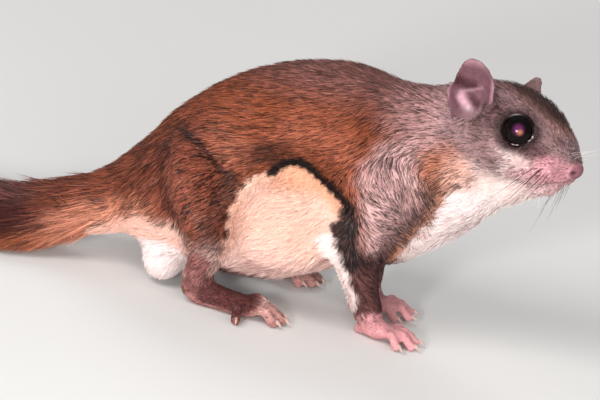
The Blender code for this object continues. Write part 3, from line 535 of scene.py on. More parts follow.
HEAD_PATCHES = (
    Ball(Tone.CROWN, (-16, 0, 11), (9, 12, 7, 0.5), 0.7),
    Ball(Tone.BROW, (3, 0, 9), (15, 9, 7, 0.35), 0.7),
    # Dark crown, with painted shade towards the head's outline.
    Ball(Tone.FOREHEAD, (-1, 0, 9), (18, 6.5, 6.6, 0.4), 0.95),
    Ball(Tone.NAPE, (-22, -8, 4), (9, 10, 10, 0.5), 0.6),
    Ball(Tone.CHEEK, (-4, -13, -8.4), (10, 8, 4.6, 0.5), 0.9),
    Ball(Tone.CHEEK_WHITE, (3, -6, -19.8), (16.5, 14, 7, 0.42), 0.95),
    Ball(Tone.WHITE, (-4, -4, -27), (14, 14, 7, 0.3)),
    Ball(Tone.MUZZLE, (11, -2, -12.4), (4.6, 6, 2.4, 0.5), 0.75),
    Ball(Tone.CHEEK_PINK, (7.4, -8.5, -9.6), (5.4, 5.6, 3.8, 0.5), 0.85),
    Ball(Tone.CHEEK, (-5, -10.5, -12.8), (5.4, 6, 2.6, 0.8), 0.5),
    Band(Tone.CHEEK_WHITE, ((8, -6.8), (4.4, -8.8), (0.6, -11.4)), (0.7, 1.6), 0.65),
    Ball(Tone.NECK_TAN, (-15.5, -11.5, -18), (5.8, 8, 5.2, 0.6), 0.75),
    Ball(Tone.PEACH, (-10.4, -9, -19.2), (5.2, 6, 4.4, 0.6), 0.85),
    Ball(Tone.CHEEK_WHITE, (2.2, -11, -7.6), (4.2, 4.2, 1.7, 0.7), 0.6),
    Ball(Tone.EYE_SHADE, (-7.6, -12.6, 0.2), (3.8, 4.2, 5, 0.55), 0.8),
    Ball(Tone.EYE_SHADE, (-8.6, -11.8, -4.4), (3.6, 4, 4.4, 0.6), 0.45),
    Ball(Tone.EYE_SHADE, (6.6, -8.5, -4.2), (4, 5, 2.4, 0.6), 0.75),
    Ball(Tone.EYE_SHADE, (10.4, -6, 0.8), (2.6, 3.4, 1.3, 0.6), 0.6),
    Ball(Tone.CHEEK_SPOT, (-1.8, -12.8, -11.4), (2.2, 4, 1, 0.6), 0.55),
    Ball(Tone.BRIDGE, (13.6, 0, 0.4), (4, 4.6, 2.8, 0.5), 0.85),
    Ball(Tone.MUZZLE, (11.8, -4.4, -7.6), (6.2, 5.8, 4.6, 0.3), 0.95),
    Ball(Tone.CHIN, (9, 0, -13.4), (6.6, 7, 3.4, 0.35), 0.7),
    Ball(Tone.NOSE, (16.2, 0, -4.4), (2.8, 3.6, 2.9, 0.4), 0.9),
    Ball(Tone.EYE_RING, (-0.1, -11.2, -1.2), (6.4, 6.6, 6, 0.22), 0.95),
)
# The ear's inner colours: painted shade in its folds, painted highlights on its lobe and ridge, and a
# painted shadow at its foot.
EAR_PATCHES = (
    Band(Tone.EAR_DARK, ((-19.3, 3.4), (-17.6, 3), (-15.8, 3.6)), (1.35, 1.1), 0.88),
    Band(Tone.EAR_PALE, ((-18.2, 0.95), (-16.2, 2.2), (-13.6, 4.2)), (0.3, 0.5), 0.4),
    Band(Tone.EAR_DARK, ((-18.7, -0.6), (-17.6, -2.7), (-15.8, -4.2)), (0.5, 0.8), 0.75),
    Band(Tone.EAR_DARK, ((-14.6, 0.6), (-13, -0.6)), (0.9, 1), 0.6),
    Band(Tone.EAR_PALE, ((-17.4, -0.4), (-16.2, -1.3), (-14.9, -2.2)), (1.1, 1), 0.85),
    Band(Tone.EAR_SHADOW, ((-14.6, -4.4), (-12.6, -3.7), (-11.4, -2.3)), (0.9, 0.9), 0.85),
    # Painted highlight on the ear's lobe.
    Ball(Tone.WHITE, (-14.4, -12.8, -2.3), (0.7, 2, 0.9, 0.6), 0.35),
)


class Markings:
    """The coat's markings, with painted shade, shadow and sheen among them, read alike by the skin and by
    every tuft.
    """

    def nearside(self, points: np.ndarray) -> np.ndarray:
        """Points with the far side's folded onto the near side's, its stepped legs moved back.

        Args:
            points: Places in the drawing.

        Returns:
            The places to read the markings at.
        """
        folded = points.copy()
        far = smooth(2.0, 8.0, points[:, 1]) * (1.0 - smooth(26.0, 46.0, points[:, 2]))
        folded[:, 0] -= far * np.where(points[:, 0] > -6.0, -5.0, 3.0)
        folded[:, 1] = -np.abs(folded[:, 1])
        return folded

    def hollow(self, folded: np.ndarray, soft: float) -> np.ndarray:
        """How far near-side points lie in the pale hollow, whose edge is soft millimetres wide."""
        return Outline(Tone.CREAM, HOLLOW, (soft,)).mask(folded)

    def colours(self, points: np.ndarray, head_share: np.ndarray) -> np.ndarray:
        """The coat's colour at points of the drawing.

        Args:
            points: Places in millimetres.
            head_share: How far each belongs to the head, from 0 to 1.

        Returns:
            Linear red, green and blue for each.
        """
        ragged = points + 0.35 * np.sin(points[:, (2, 0, 1)] * 1.3)
        ragged = ragged + 0.25 * np.sin(points[:, (1, 2, 0)] * 3.1)
        body = np.tile(Tone.RUSSET.value, (len(points), 1))
        folded = self.nearside(ragged)
        hollow = self.hollow(folded, 0.5)[:, None]
        for patch in BODY_PATCHES:
            share = patch.mask(folded)[:, None] * (hollow if patch.within else 1.0)
            body = mix(body, patch.tone.rgb, share)
        local = one_sided(POSTURE.to_head(points + 0.3 * (ragged - points)), Side.RIGHT)
        face = np.tile(Tone.FACE.value, (len(points), 1))
        for patch in HEAD_PATCHES:
            face = mix(face, patch.tone.rgb, patch.mask(local)[:, None])
        return mix(body, face, head_share[:, None])


MARKINGS = Markings()


@dataclass(frozen=True)
class Ear:
    """The frame of one ear, in the head's own millimetres."""

    side: Side
    root: tuple = (-13.6, 13.3, -5.2)
    mound: tuple = (-15.5, 12.2, -1.7)

    @property
    def height(self) -> float:
        """The ear's height; the far one is foreshortened in its turn to the front."""
        return 16.8 if self.side is Side.RIGHT else 15.6

    def beyond(self, points: np.ndarray, right: float, left: float) -> np.ndarray:
        """Which points of the drawing lie further out on this side than its limit."""
        return points[:, 1] * self.side.value > (right if self.side is Side.RIGHT else left)

    def about(self, points: np.ndarray) -> np.ndarray:
        """Which points of the drawing lie about this ear, and not about the other."""
        local = self.local(points)
        return (np.abs(local[:, 1]) < 10.0) * (np.abs(local[:, 2]) < 8.0)

    def axes(self) -> tuple:
        """The ear's root, rise, facing direction and breadth in the drawing."""
        sign = self.side.value
        rise = unit(np.array((-0.24, -0.18, 0.94) if sign < 0 else (-0.14, 0.18, 0.95)))
        face = np.array((0.34, 0.93 * sign, -0.06) if sign < 0 else (0.60, 0.79 * sign, -0.10))
        face = unit(face - rise * (face @ rise))
        root = POSTURE.from_head((self.root[0], self.root[1] * sign, self.root[2]))
        return root, POSTURE.turned(rise), POSTURE.turned(face), POSTURE.turned(np.cross(rise, face) * sign)

    def local(self, points: np.ndarray) -> np.ndarray:
        """Points as their share of the height, across the ear and towards its face."""
        root, rise, face, across = self.axes()
        away = points - root
        return np.stack([away @ rise / self.height, away @ across, away @ face], axis=1)


@dataclass
class Tail:
    """The tail's line, its core of flesh and the spread of its hair, in millimetres."""

    line: tuple = (
        (-54.0, -0.6, 17.5), (-66.5, -2.6, 11.0), (-76.0, -4.8, 7.8), (-90.0, -8.0, 6.4),
        (-110.0, -10.0, 6.2), (-130.0, -7.6, 5.4), (-146.0, -3.6, 4.8),
    )
    core: tuple = (
        (0.0, 9.0, 6.2), (0.14, 9.4, 4.8), (0.3, 7.4, 3.4), (0.6, 5.2, 2.6), (0.88, 4.0, 2.1),
        (1.0, 1.6, 1.2),
    )
    spread: tuple = (
        (0.0, 11.0, 7.8), (0.14, 13.2, 6.6), (0.3, 15.0, 5.6), (0.6, 15.4, 5.0), (0.88, 13.6, 4.6),
        (1.0, 10.0, 3.8),
    )
    roll: float = math.radians(17)

    def frames(self, shares: np.ndarray) -> tuple:
        """The tail's places and axes.

        Args:
            shares: Shares of its length.

        Returns:
            Points, directions to the tip, directions across to the left, and upward directions.
        """
        dense = through(self.line, 81)
        ahead = unit(np.gradient(dense, axis=0))
        place = np.clip(shares, 0.0, 1.0) * 80
        steps = np.arange(81)
        points = np.stack([np.interp(place, steps, dense[:, k]) for k in range(3)], axis=1)
        ahead = unit(np.stack([np.interp(place, steps, ahead[:, k]) for k in range(3)], axis=1))
        across = unit(np.cross((0.0, 0.0, 1.0), ahead))
        rise = np.cross(ahead, across)
        turn = (-self.roll * (1.0 - np.clip(shares, 0.0, 1.0)) ** 1.2)[:, None]
        turned = across * np.cos(turn) + rise * np.sin(turn)
        return points, ahead, turned, np.cross(ahead, turned)

    def surface(self, shares: np.ndarray, angles: np.ndarray) -> tuple:
        """Points and outward normals of the core.

        Args:
            shares: Shares of its length.
            angles: Turns round it, from its side towards its top.

        Returns:
            Points, normals, directions to the tip, across and up.
        """
        points, ahead, across, rise = self.frames(shares)
        sizes = between(self.core, shares)
        side, top = np.cos(angles), np.sin(angles)
        out = across * side[:, None] * sizes[:, :1] + rise * top[:, None] * sizes[:, 1:]
        normal = across * (side / sizes[:, 0])[:, None] + rise * (top / sizes[:, 1])[:, None]
        return points + out, unit(normal), ahead, across, rise

    def core_piece(self) -> bpy.types.Object:
        """A round primitive drawn out along the tail's line, as the flesh under its hair."""
        piece = new_ball("tail_core", 28, 44)
        ball = read_points(piece)
        shares = np.arccos(np.clip(ball[:, 2], -1.0, 1.0)) / math.pi
        points, _, across, rise = self.frames(shares)
        sizes = between(self.core, shares)
        taper = np.sqrt(np.clip(np.sin(shares * math.pi) * 3.0, 0.0, 1.0))[:, None]
        flat = unit(ball[:, :2] + 1e-12)
        moved = points + taper * (across * flat[:, :1] * sizes[:, :1] + rise * flat[:, 1:] * sizes[:, 1:])
        moved[:, 2] = np.maximum(moved[:, 2], 0.9)
        write_points(piece, moved)
        face_outwards(piece)
        return piece


TAIL = Tail()


def column(rows: bpy.types.bpy_prop_collection, key: str, width: int = 3, kind: type = float) -> np.ndarray:
    """One property of a mesh's elements, as rows of numbers.

    Args:
        rows: The elements, such as vertices or edges.
        key: The property's name.
        width: How many numbers each element has.
        kind: The kind of number.

    Returns:
        One row for each element.
    """
    values = np.zeros(len(rows) * width, kind)
    rows.foreach_get(key, values)
    return values.reshape(-1, width)


def read_points(piece: bpy.types.Object) -> np.ndarray:
    """A mesh's vertices in its own units."""
    return column(piece.data.vertices, "co")


def to_drawing(points: np.ndarray) -> np.ndarray:
    """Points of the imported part, in metres, in the drawing's millimetres."""
    return points / MM - SHIFT


def to_part(points: np.ndarray) -> np.ndarray:
    """Points of the drawing, in millimetres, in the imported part's metres."""
    return (points + SHIFT) * MM


def write_points(piece: bpy.types.Object, points: np.ndarray) -> None:
    """Moves a mesh's vertices to points of the drawing."""
    piece.data.vertices.foreach_set("co", to_part(points).astype(np.float32).ravel())
    piece.data.update()


def alone(piece: bpy.types.Object) -> None:
    """Makes one object the only selected and active one."""
    bpy.ops.object.select_all(action="DESELECT")
    piece.select_set(True)
    bpy.context.view_layer.objects.active = piece


def apply_modifiers(piece: bpy.types.Object) -> None:
    """Applies each modifier of a piece in order."""
    alone(piece)
    for step in list(piece.modifiers):
        bpy.ops.object.modifier_apply(modifier=step.name)


def linked(name: str, data: bpy.types.ID) -> bpy.types.Object:
    """A new object in the scene, of ready data."""
    made = bpy.data.objects.new(name, data)
    bpy.context.scene.collection.objects.link(made)
    return made


def joined(pieces: list, into: bpy.types.Object) -> bpy.types.Object:
    """Joins pieces into one of them.

    Args:
        pieces: The pieces to join.
        into: The one that takes in the others.

    Returns:
        The joined piece.
    """
    bpy.ops.object.select_all(action="DESELECT")
    for piece in pieces:
        piece.select_set(True)
    bpy.context.view_layer.objects.active = into
    bpy.ops.object.join()
    return bpy.context.object


def new_ball(name: str, segments: int, rings: int) -> bpy.types.Object:
    """A round primitive of radius one, to be shaped.

    Args:
        name: The piece's name.
        segments: How many strips it has.
        rings: How many rings it has.

    Returns:
        The piece.
    """
    bpy.ops.object.select_all(action="DESELECT")
    bpy.ops.mesh.primitive_uv_sphere_add(segments=segments, ring_count=rings, radius=1.0)
    piece = bpy.context.object
    piece.name = name
    return piece


@contextmanager
def editing() -> Iterator[None]:
    """Edit mode for the active piece, with all of it selected."""
    bpy.ops.object.mode_set(mode="EDIT")
    bpy.ops.mesh.select_all(action="SELECT")
    yield
    bpy.ops.object.mode_set(mode="OBJECT")


def face_outwards(piece: bpy.types.Object) -> None:
    """Turns a closed mesh's faces outwards."""
    alone(piece)
    with editing():
        bpy.ops.mesh.normals_make_consistent(inside=False)


def pick(piece: bpy.types.Object, element: str, flags: np.ndarray) -> None:
    """Goes into edit mode with only some vertices or faces selected.

    Args:
        piece: The piece to edit.
        element: VERT or FACE.
        flags: Which of them are selected.
    """
    alone(piece)
    bpy.ops.object.mode_set(mode="EDIT")
    bpy.ops.mesh.select_mode(type=element)
    bpy.ops.mesh.select_all(action="DESELECT")
    bpy.ops.object.mode_set(mode="OBJECT")
    rows = piece.data.vertices if element == "VERT" else piece.data.polygons
    rows.foreach_set("select", flags)
    bpy.ops.object.mode_set(mode="EDIT")


def tree_of(points: np.ndarray) -> KDTree:
    """A search tree of points, numbered in their order.

    Args:
        points: Rows of places.

    Returns:
        The tree, ready to search.
    """
    tree = KDTree(len(points))
    for place, point in enumerate(points.tolist()):
        tree.insert(point, place)
    tree.balance()
    return tree


def claw_nodes() -> list:
    """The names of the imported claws."""
    return [name for name in sorted(frame["nodes"]) if "claw" in name]


@dataclass
class Surface:
    """A skin's mesh as arrays, with what the coat reads from it, in the drawing's millimetres."""

    points: np.ndarray
    normals: np.ndarray
    triangles: np.ndarray
    corners: np.ndarray
    tree: BVHTree = None
    values: dict = field(default_factory=dict)

    @classmethod
    def of(cls, piece: bpy.types.Object) -> "Surface":
        """Reads a piece's mesh.

        Args:
            piece: The finished skin.

        Returns:
            Its arrays and its search tree.
        """
        mesh = piece.data
        mesh.calc_loop_triangles()
        triangles = column(mesh.loop_triangles, "vertices", 3, np.int64)
        corners = column(mesh.loop_triangles, "loops", 3, np.int64)
        points = to_drawing(read_points(piece))
        made = cls(points, column(mesh.vertex_normals, "vector"), triangles, corners)
        made.tree = BVHTree.FromPolygons(points.tolist(), made.triangles.tolist())
        return made

    def nearest(self, places: np.ndarray) -> tuple:
        """The surface's points and smooth normals nearest to places.

        Args:
            places: Points in millimetres.

        Returns:
            The nearest points and their normals.
        """
        found = [self.tree.find_nearest(place) for place in places.tolist()]
        points = np.array([hit[0] for hit in found])
        index = np.array([hit[2] for hit in found])
        return points, unit(self.normals[self.triangles[index]].sum(axis=1))

    def spread(self, weights: np.ndarray, count: int, rng: np.random.Generator) -> tuple:
        """Evenly scattered places on the surface.

        Args:
            weights: How densely each vertex is covered.
            count: How many places.
            rng: The seeded source of chance.

        Returns:
            Each place's triangle and its three shares of the corners.
        """
        a, b, c = (self.points[self.triangles[:, k]] for k in range(3))
        area = np.linalg.norm(np.cross(b - a, c - a), axis=1) / 2.0
        weight = np.cumsum(area * weights[self.triangles].mean(axis=1))
        steps = (np.arange(count) + rng.random(count)) / count * weight[-1]
        index = np.minimum(np.searchsorted(weight, steps), len(area) - 1)
        first = np.sqrt(rng.random(count))
        second = rng.random(count)
        shares = np.stack([1.0 - first, first * (1.0 - second), first * second], axis=1)
        return index, shares

    def read(self, values: np.ndarray, index: np.ndarray, shares: np.ndarray) -> np.ndarray:
        """Vertex values at scattered places."""
        picked = values[self.triangles[index]]
        if picked.ndim == 2:
            return (picked * shares).sum(axis=1)
        return (picked * shares[:, :, None]).sum(axis=1)


def soften(
    values: np.ndarray, edges: np.ndarray, rounds: int, share: np.ndarray | float = 0.5,
) -> np.ndarray:
    """Averages vertex values with their neighbours'.

    Args:
        values: One value or row for each vertex.
        edges: Pairs of joined vertices.
        rounds: How often.
        share: How far each vertex moves to its neighbours' mean.

    Returns:
        The softened values.
    """
    flat = values.reshape(len(values), -1).astype(float)
    count = np.maximum(np.bincount(edges.ravel(), minlength=len(flat)), 1)[:, None]
    pull = np.broadcast_to(np.asarray(share, float).reshape(-1, 1), (len(flat), 1))
    for _ in range(rounds):
        total = np.zeros_like(flat)
        for k in range(flat.shape[1]):
            total[:, k] = np.bincount(edges[:, 0], flat[edges[:, 1], k], len(flat))
            total[:, k] += np.bincount(edges[:, 1], flat[edges[:, 0], k], len(flat))
        flat = flat + pull * (total / count - flat)
    return flat.reshape(values.shape)


@dataclass
class Skin:
    """The whole hide, in one piece from nose to tail tip, under the depth of the coat."""

    voxel: float = 0.78
    swell: float = 0.25
    body_rounds: int = 26
    fine_rounds: int = 5
    value_rounds: int = 14
    clearance: float = 0.02
    # Painted shade: how far the coat's colour is darkened on the skin beneath the hair.
    under_shade: float = 0.62
    piece: bpy.types.Object = None
    surface: Surface = None

    def flesh_nodes(self) -> list:
        """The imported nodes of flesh, which the skin replaces."""
        kept = claw_nodes()
        return [name for name in sorted(frame["nodes"]) if name not in kept and not name.startswith("eye_")]

    def build(self) -> bpy.types.Object:
        """Fuses copies of the flesh into one hide and gives it the face's finer forms."""
        names = [name for name in self.flesh_nodes() if name != "tail_brush"]
        copies = [linked(name + "_flesh", frame["nodes"][name].data.copy()) for name in names]
        self.piece = joined(copies, copies[0])
        self.piece.name = "skin"
        self.piece.data.name = "skin"
        self.piece.data.materials.clear()
        with editing():
            bpy.ops.mesh.remove_doubles(threshold=0.00001)
        swell = self.piece.modifiers.new("swell", "DISPLACE")
        swell.strength = self.swell * MM
        swell.mid_level = 0.0
        apply_modifiers(self.piece)
        core = TAIL.core_piece()
        folds = [self.ear_fold(side) for side in Side]
        joined([core, *folds, self.piece], self.piece)
        fuse = self.piece.modifiers.new("fuse", "REMESH")
        fuse.mode = "VOXEL"
        fuse.voxel_size = self.voxel * MM
        apply_modifiers(self.piece)
        self.keep_outer()
        self.refine(lambda p: self.fine_share(p) > 0.5)
        self.refine(lambda p: self.nose_share(p) > 0.5)
        self.refine(lambda p: self.border_share(p) > 0.35)
        self.shape()
        return self.piece

    def ear_fold(self, side: Side) -> bpy.types.Object:
        """The raised fold at the foot of one ear's cup.

        Args:
            side: The ear's side.

        Returns:
            The fold, to be fused.
        """
        place = POSTURE.from_head((-15.4, 12.4 * side.value, -1.6))
        fold = new_ball("ear_fold_" + side.label, 24, 16)
        _, rise, face, across = Ear(side).axes()
        ball = read_points(fold)
        taper = 1.0 - 0.35 * ball[:, 2:]
        moved = place + rise * ball[:, 2:] * 3.6 + across * ball[:, :1] * 2.5 / taper
        write_points(fold, moved + face * ball[:, 1:2] * 1.7)
        face_outwards(fold)
        return fold

    def keep_outer(self) -> None:
        """Drops any closed pocket that fusing left inside."""
        points = read_points(self.piece)
        flags = np.zeros(len(points), bool)
        flags[points[:, 2].argmax()] = True
        pick(self.piece, "VERT", flags)
        bpy.ops.mesh.select_linked()
        bpy.ops.mesh.select_all(action="INVERT")
        bpy.ops.mesh.delete(type="VERT")
        bpy.ops.object.mode_set(mode="OBJECT")

    def refine(self, chosen: Callable) -> None:
        """Cuts the faces whose middle is chosen into four.

        Args:
            chosen: Says for points of the drawing which are refined.
        """
        centres = column(self.piece.data.polygons, "center")
        pick(self.piece, "FACE", chosen(to_drawing(centres)))
        bpy.ops.mesh.subdivide(number_cuts=1)
        bpy.ops.object.mode_set(mode="OBJECT")

    def fine_share(self, points: np.ndarray) -> np.ndarray:
        """Where the skin is cut finer: the muzzle, round the eyes, and the ears."""
        local = POSTURE.to_head(points)
        muzzle = smooth(6.0, 7.0, local[:, 0]) * (local[:, 2] > -16.0)
        eyes = 1.0 - smooth(5.8, 6.4, POSTURE.eye_reach(local))
        return np.maximum(np.maximum(muzzle, eyes), self.ear_share(points))

    def ear_share(self, points: np.ndarray) -> np.ndarray:
        """Where the skin belongs to an ear's shell or its hollow.

        Args:
            points: Places in the drawing.

        Returns:
            A share from 0 to 1 for each.
        """
        share = np.zeros(len(points))
        for side in Side:
            local = Ear(side).local(points)
            inside = smooth(0.16, 0.22, local[:, 0]) * (1.0 - smooth(1.1, 1.15, local[:, 0]))
            inside *= (np.abs(local[:, 1]) < 9.0) * (local[:, 2] > -5.0) * (local[:, 2] < 5.0)
            share = np.maximum(share, inside * Ear(side).beyond(points, -14.5, -4.5))
        return share

    def nose_share(self, points: np.ndarray) -> np.ndarray:
        """Where the skin belongs to the nose and the front of the mouth."""
        local = POSTURE.to_head(points)
        return smooth(12.4, 12.8, local[:, 0])

    def border_share(self, points: np.ndarray) -> np.ndarray:
        """Where the skin lies near the edge of the pale hollow."""
        inside = MARKINGS.hollow(MARKINGS.nearside(points), 2.6)
        on_flank = smooth(12.0, 18.0, points[:, 2]) * (np.abs(points[:, 1]) > 6.0)
        return 4.0 * inside * (1.0 - inside) * on_flank

    def node_values(self, points: np.ndarray) -> dict:
        """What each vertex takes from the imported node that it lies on.

        Args:
            points: The skin's vertices in millimetres.

        Returns:
            Arrays by name.
        """
        names = self.flesh_nodes()
        corners, triangles, owners = [], [], []
        start = 0
        for number, name in enumerate(names):
            mesh = frame["nodes"][name].data
            mesh.calc_loop_triangles()
            index = column(mesh.loop_triangles, "vertices", 3, np.int64)
            corners.append(to_drawing(read_points(frame["nodes"][name])))
            triangles.append(index + start)
            owners += [number] * len(index)
            start += len(mesh.vertices)
        tree = BVHTree.FromPolygons(np.vstack(corners).tolist(), np.vstack(triangles).tolist())
        owners = np.array(owners)
        owner = owners[[tree.find_nearest(point)[2] for point in points.tolist()]]
        regions = [region_of(name) for name in names]
        parts = {
            "head": ("head", "lower_jaw", "nose", "ear"),
            "ear": ("ear",),
            "foot": ("foot",),
            "hand": ("hand",),
            "tail": ("tail_brush",),
            "belly": ("abdomen", "chest", "gliding"),
        }
        table = {key: [float(name.startswith(starts)) for name in names] for key, starts in parts.items()}
        for key in ("depth", "hair", "density", "width", "bare", "follow", "lie"):
            table[key] = [getattr(region, key) for region in regions]
        return {key: np.array(rows)[owner] for key, rows in table.items()}

    def mark_body(self, points: np.ndarray, values: dict) -> None:
        """Shortens and raises the hair along the body's edges, folds and fringes.

        Args:
            points: The skin's vertices.
            values: What each vertex carries.
        """
        folded = MARKINGS.nearside(points)
        height = points[:, 2]
        hollow = MARKINGS.hollow(folded, 1.5) * smooth(10.0, 15.0, height)
        edge = Band(Tone.BLACK_EDGE, ARCH_RIM, (2.4, 1.2)).mask(folded)
        values["border"] = self.border_share(points)
        fold = Band(Tone.CREASE, HAUNCH_FOLD, (0.5, 1.1)).mask(folded)
        values["fold"] = fold * smooth(8.0, 12.0, np.abs(points[:, 1]))
        values["hair"] *= 1.0 - 0.55 * values["fold"]
        values["hair"] *= 1.0 - np.maximum.reduce([0.35 * hollow, 0.5 * edge, 0.5 * values["border"]])
        cuff = Band(Tone.ARM_PALE, CUFF, (3.2, 1.2)).mask(folded)
        values["cuff"] = cuff * smooth(6.0, 9.0, height)
        values["hair"] += 2.6 * values["cuff"]
        values["follow"] = values["follow"] * (1.0 - 0.5 * values["cuff"])
        values["fringe"] = values["belly"] * smooth(6.0, 8.0, height) * (1.0 - smooth(10.0, 15.0, height))
        values["follow"] = values["follow"] * (1.0 - 0.6 * values["fringe"])

    def mark_head(self, points: np.ndarray, values: dict) -> None:
        """Shortens the hair towards the eyes, the ears and the muzzle.

        Args:
            points: The skin's vertices.
            values: What each vertex carries.
        """
        local = POSTURE.to_head(points)
        on_head = values["head"] > 0.5
        values["eye"] = POSTURE.eye_reach(local)
        near = smooth(4.6, 9.5, values["eye"])
        values["depth"] *= 0.12 + 0.88 * near
        values["hair"] *= np.where(on_head, 0.5 + 0.5 * near, 1.0)
        folded = one_sided(local, Side.LEFT)
        values["mound"] = apart(folded, Ear(Side.RIGHT).mound)
        values["foot_of_ear"] = apart(folded, (-15.4, 12.8, -2.4), (3.6, 5.0, 3.3))
        by_ear = 0.34 + 0.66 * smooth(3.8, 9.0, values["mound"])
        values["hair"] *= np.where(values["ear"] > 0.5, 1.0, by_ear)
        front = smooth(4.0, 13.0, local[:, 0]) * on_head
        for key, loss in (("depth", 0.75), ("hair", 0.62), ("width", 0.3)):
            values[key] *= 1.0 - loss * front

    def shape(self) -> None:
        """Smooths the facets, sinks the hide by the coat's depth and draws the face's forms."""
        mesh = self.piece.data
        edges = column(mesh.edges, "vertices", 2, np.int64)
        points = to_drawing(read_points(self.piece))
        values = self.node_values(points)
        fine = np.maximum.reduce([values["ear"], values["hand"], values["foot"], self.fine_share(points)])
        fine = np.clip(soften(fine, edges, 6), 0.0, 1.0)
        points, sunk = self.tapered(points, values["tail"])
        values["depth"] += sunk
        values["hair"] += 0.9 * sunk
        self.mark_body(points, values)
        points = soften(points, edges, self.fine_rounds, 0.4)
        points = soften(points, edges, self.body_rounds, 0.5 * (1.0 - fine))
        for key in ("depth", "hair", "density", "width", "bare", "follow", "head", "lie", "fringe", "cuff"):
            values[key] = soften(values[key], edges, self.value_rounds)
        points = self.trimmed_ears(points, values["ear"])
        write_points(self.piece, points)
        self.mark_head(points, values)
        normals = column(mesh.vertex_normals, "vector")
        points = points - normals * (values["depth"] + self.swell * 0.8 + 0.9 * values["fold"])[:, None]
        points = soften(points, edges, 2, 0.3 * (1.0 - fine))
        seam = bell(apart(POSTURE.to_head(points), (14.9, 0.0, -4.2)) - 2.9, 1.2) * (values["head"] > 0.5)
        points = soften(points, edges, 24, 0.5 * seam)
        points = self.claw_seats(self.face_forms(points, normals, values))
        points[:, 2] = np.maximum(points[:, 2], self.clearance)
        write_points(self.piece, points)
        mesh.shade_smooth()
        self.surface = Surface.of(self.piece)
        self.surface.values = values
        self.surface.values["edges"] = edges

    def claw_seats(self, points: np.ndarray) -> np.ndarray:
        """The skin's vertices, with the tip of each finger and toe drawn out to the root of its claw.

        Args:
            points: The skin's vertices.

        Returns:
            The moved vertices.
        """
        tree = tree_of(points)
        moved = points.copy()
        for name in claw_nodes():
            claw = to_drawing(read_points(frame["nodes"][name]))
            gaps = np.array([tree.find(point)[2] for point in claw.tolist()])
            root = claw[np.argsort(gaps)[: max(len(claw) // 3, 1)]].mean(axis=0)
            tip = points[tree.find(root)[1]]
            pull = (root - tip) * (1.0 + 0.4 / max(np.linalg.norm(root - tip), 0.4))
            moved += bell(apart(points, tip), 0.9)[:, None] * pull
        return moved

    def trimmed_ears(self, points: np.ndarray, ear: np.ndarray) -> np.ndarray:
        """The skin's vertices, with the back edge of each ear slanted in towards its top.

        Args:
            points: The skin's vertices.
            ear: How far each belongs to an ear.

        Returns:
            The moved vertices.
        """
        moved = points.copy()
        for side in Side:
            local = Ear(side).local(points)
            own = ear * Ear(side).about(points)
            trim = 1.7 * smooth(1.5, 6.5, local[:, 1]) * smooth(0.40, 0.60, local[:, 0]) * own
            moved -= Ear(side).axes()[3] * trim[:, None]
        return moved

    def tapered(self, points: np.ndarray, core: np.ndarray) -> tuple:
        """Draws the flesh of the tail's root in towards the tail's line, so that hair carries its outline.

        Args:
            points: The skin's vertices.
            core: How far each belongs to the tail's own core.

        Returns:
            The vertices, and how far each has sunk.
        """
        line = through(TAIL.line, 161)
        tree = tree_of(line)
        pull = 0.16 * smooth(-50.0, -66.0, points[:, 0]) * (1.0 - core)
        near = np.array([tree.find(point)[0] for point in points.tolist()])
        moved = points + (near - points) * pull[:, None]
        return moved, np.linalg.norm(moved - points, axis=1)

    def face_forms(self, points: np.ndarray, normals: np.ndarray, values: dict) -> np.ndarray:
        """Draws the mouth's line, the nostrils and the muzzle's bridge into the skin.

        Args:
            points: The skin's vertices.
            normals: Their outward directions.
            values: What each vertex carries.

        Returns:
            The moved vertices.
        """
        local = POSTURE.to_head(points)
        front, corner = np.array((15.8, -7.1)), np.array((8.2, -13.0))
        along = (corner - front) / np.linalg.norm(corner - front)
        from_front = local[:, (0, 2)] - front
        above = from_front @ np.array((-along[1], along[0]))
        place = from_front @ along
        window = smooth(-3.0, -1.0, place) * (1.0 - smooth(8.0, 10.5, place)) * (values["head"] > 0.5)
        window *= (local[:, 0] > 2.0) * (local[:, 2] < -5.0)
        mouth = bell(above, 0.42) * window
        nostril = np.zeros(len(points))
        for sign in (-1, 1):
            away = local - (16.3, 1.95 * sign, -5.0)
            slant = unit(np.array((0.85, 0.0, 0.45)))
            length = away @ slant
            side = np.linalg.norm(away - np.outer(length, slant), axis=1)
            bend = side + 0.25 * np.sin(length * 1.6)
            nostril = np.maximum(nostril, np.exp(-((bend / 0.55) ** 2) - (length / 1.25) ** 2))
        values["mouth"] = mouth
        values["nostril"] = nostril * (values["head"] > 0.5)
        values["lip"] = bell(above - 0.9, 0.5) * window
        split = bell(local[:, 1], 0.35) * smooth(14.5, 15.5, local[:, 0]) * (local[:, 2] < -5.6)
        fuller = 0.7 * bell(apart(local, (10.4, 0.0, 3.0)), 4.0)
        fuller -= 0.6 * bell(apart(local, (13.6, 0.0, 0.2)), 2.6)
        points = points + normals * (fuller * values["head"])[:, None]
        return points - normals * (0.55 * mouth + 0.8 * values["nostril"] + 0.35 * split * window)[:, None]

    def unwrap(self) -> None:
        """Unwraps the skin by its own shape, for its bake and for the coat's."""
        alone(self.piece)
        self.piece.data.uv_layers.new(name="OFBake")
        with editing():
            bpy.ops.uv.smart_project(angle_limit=math.radians(66), island_margin=0.002)

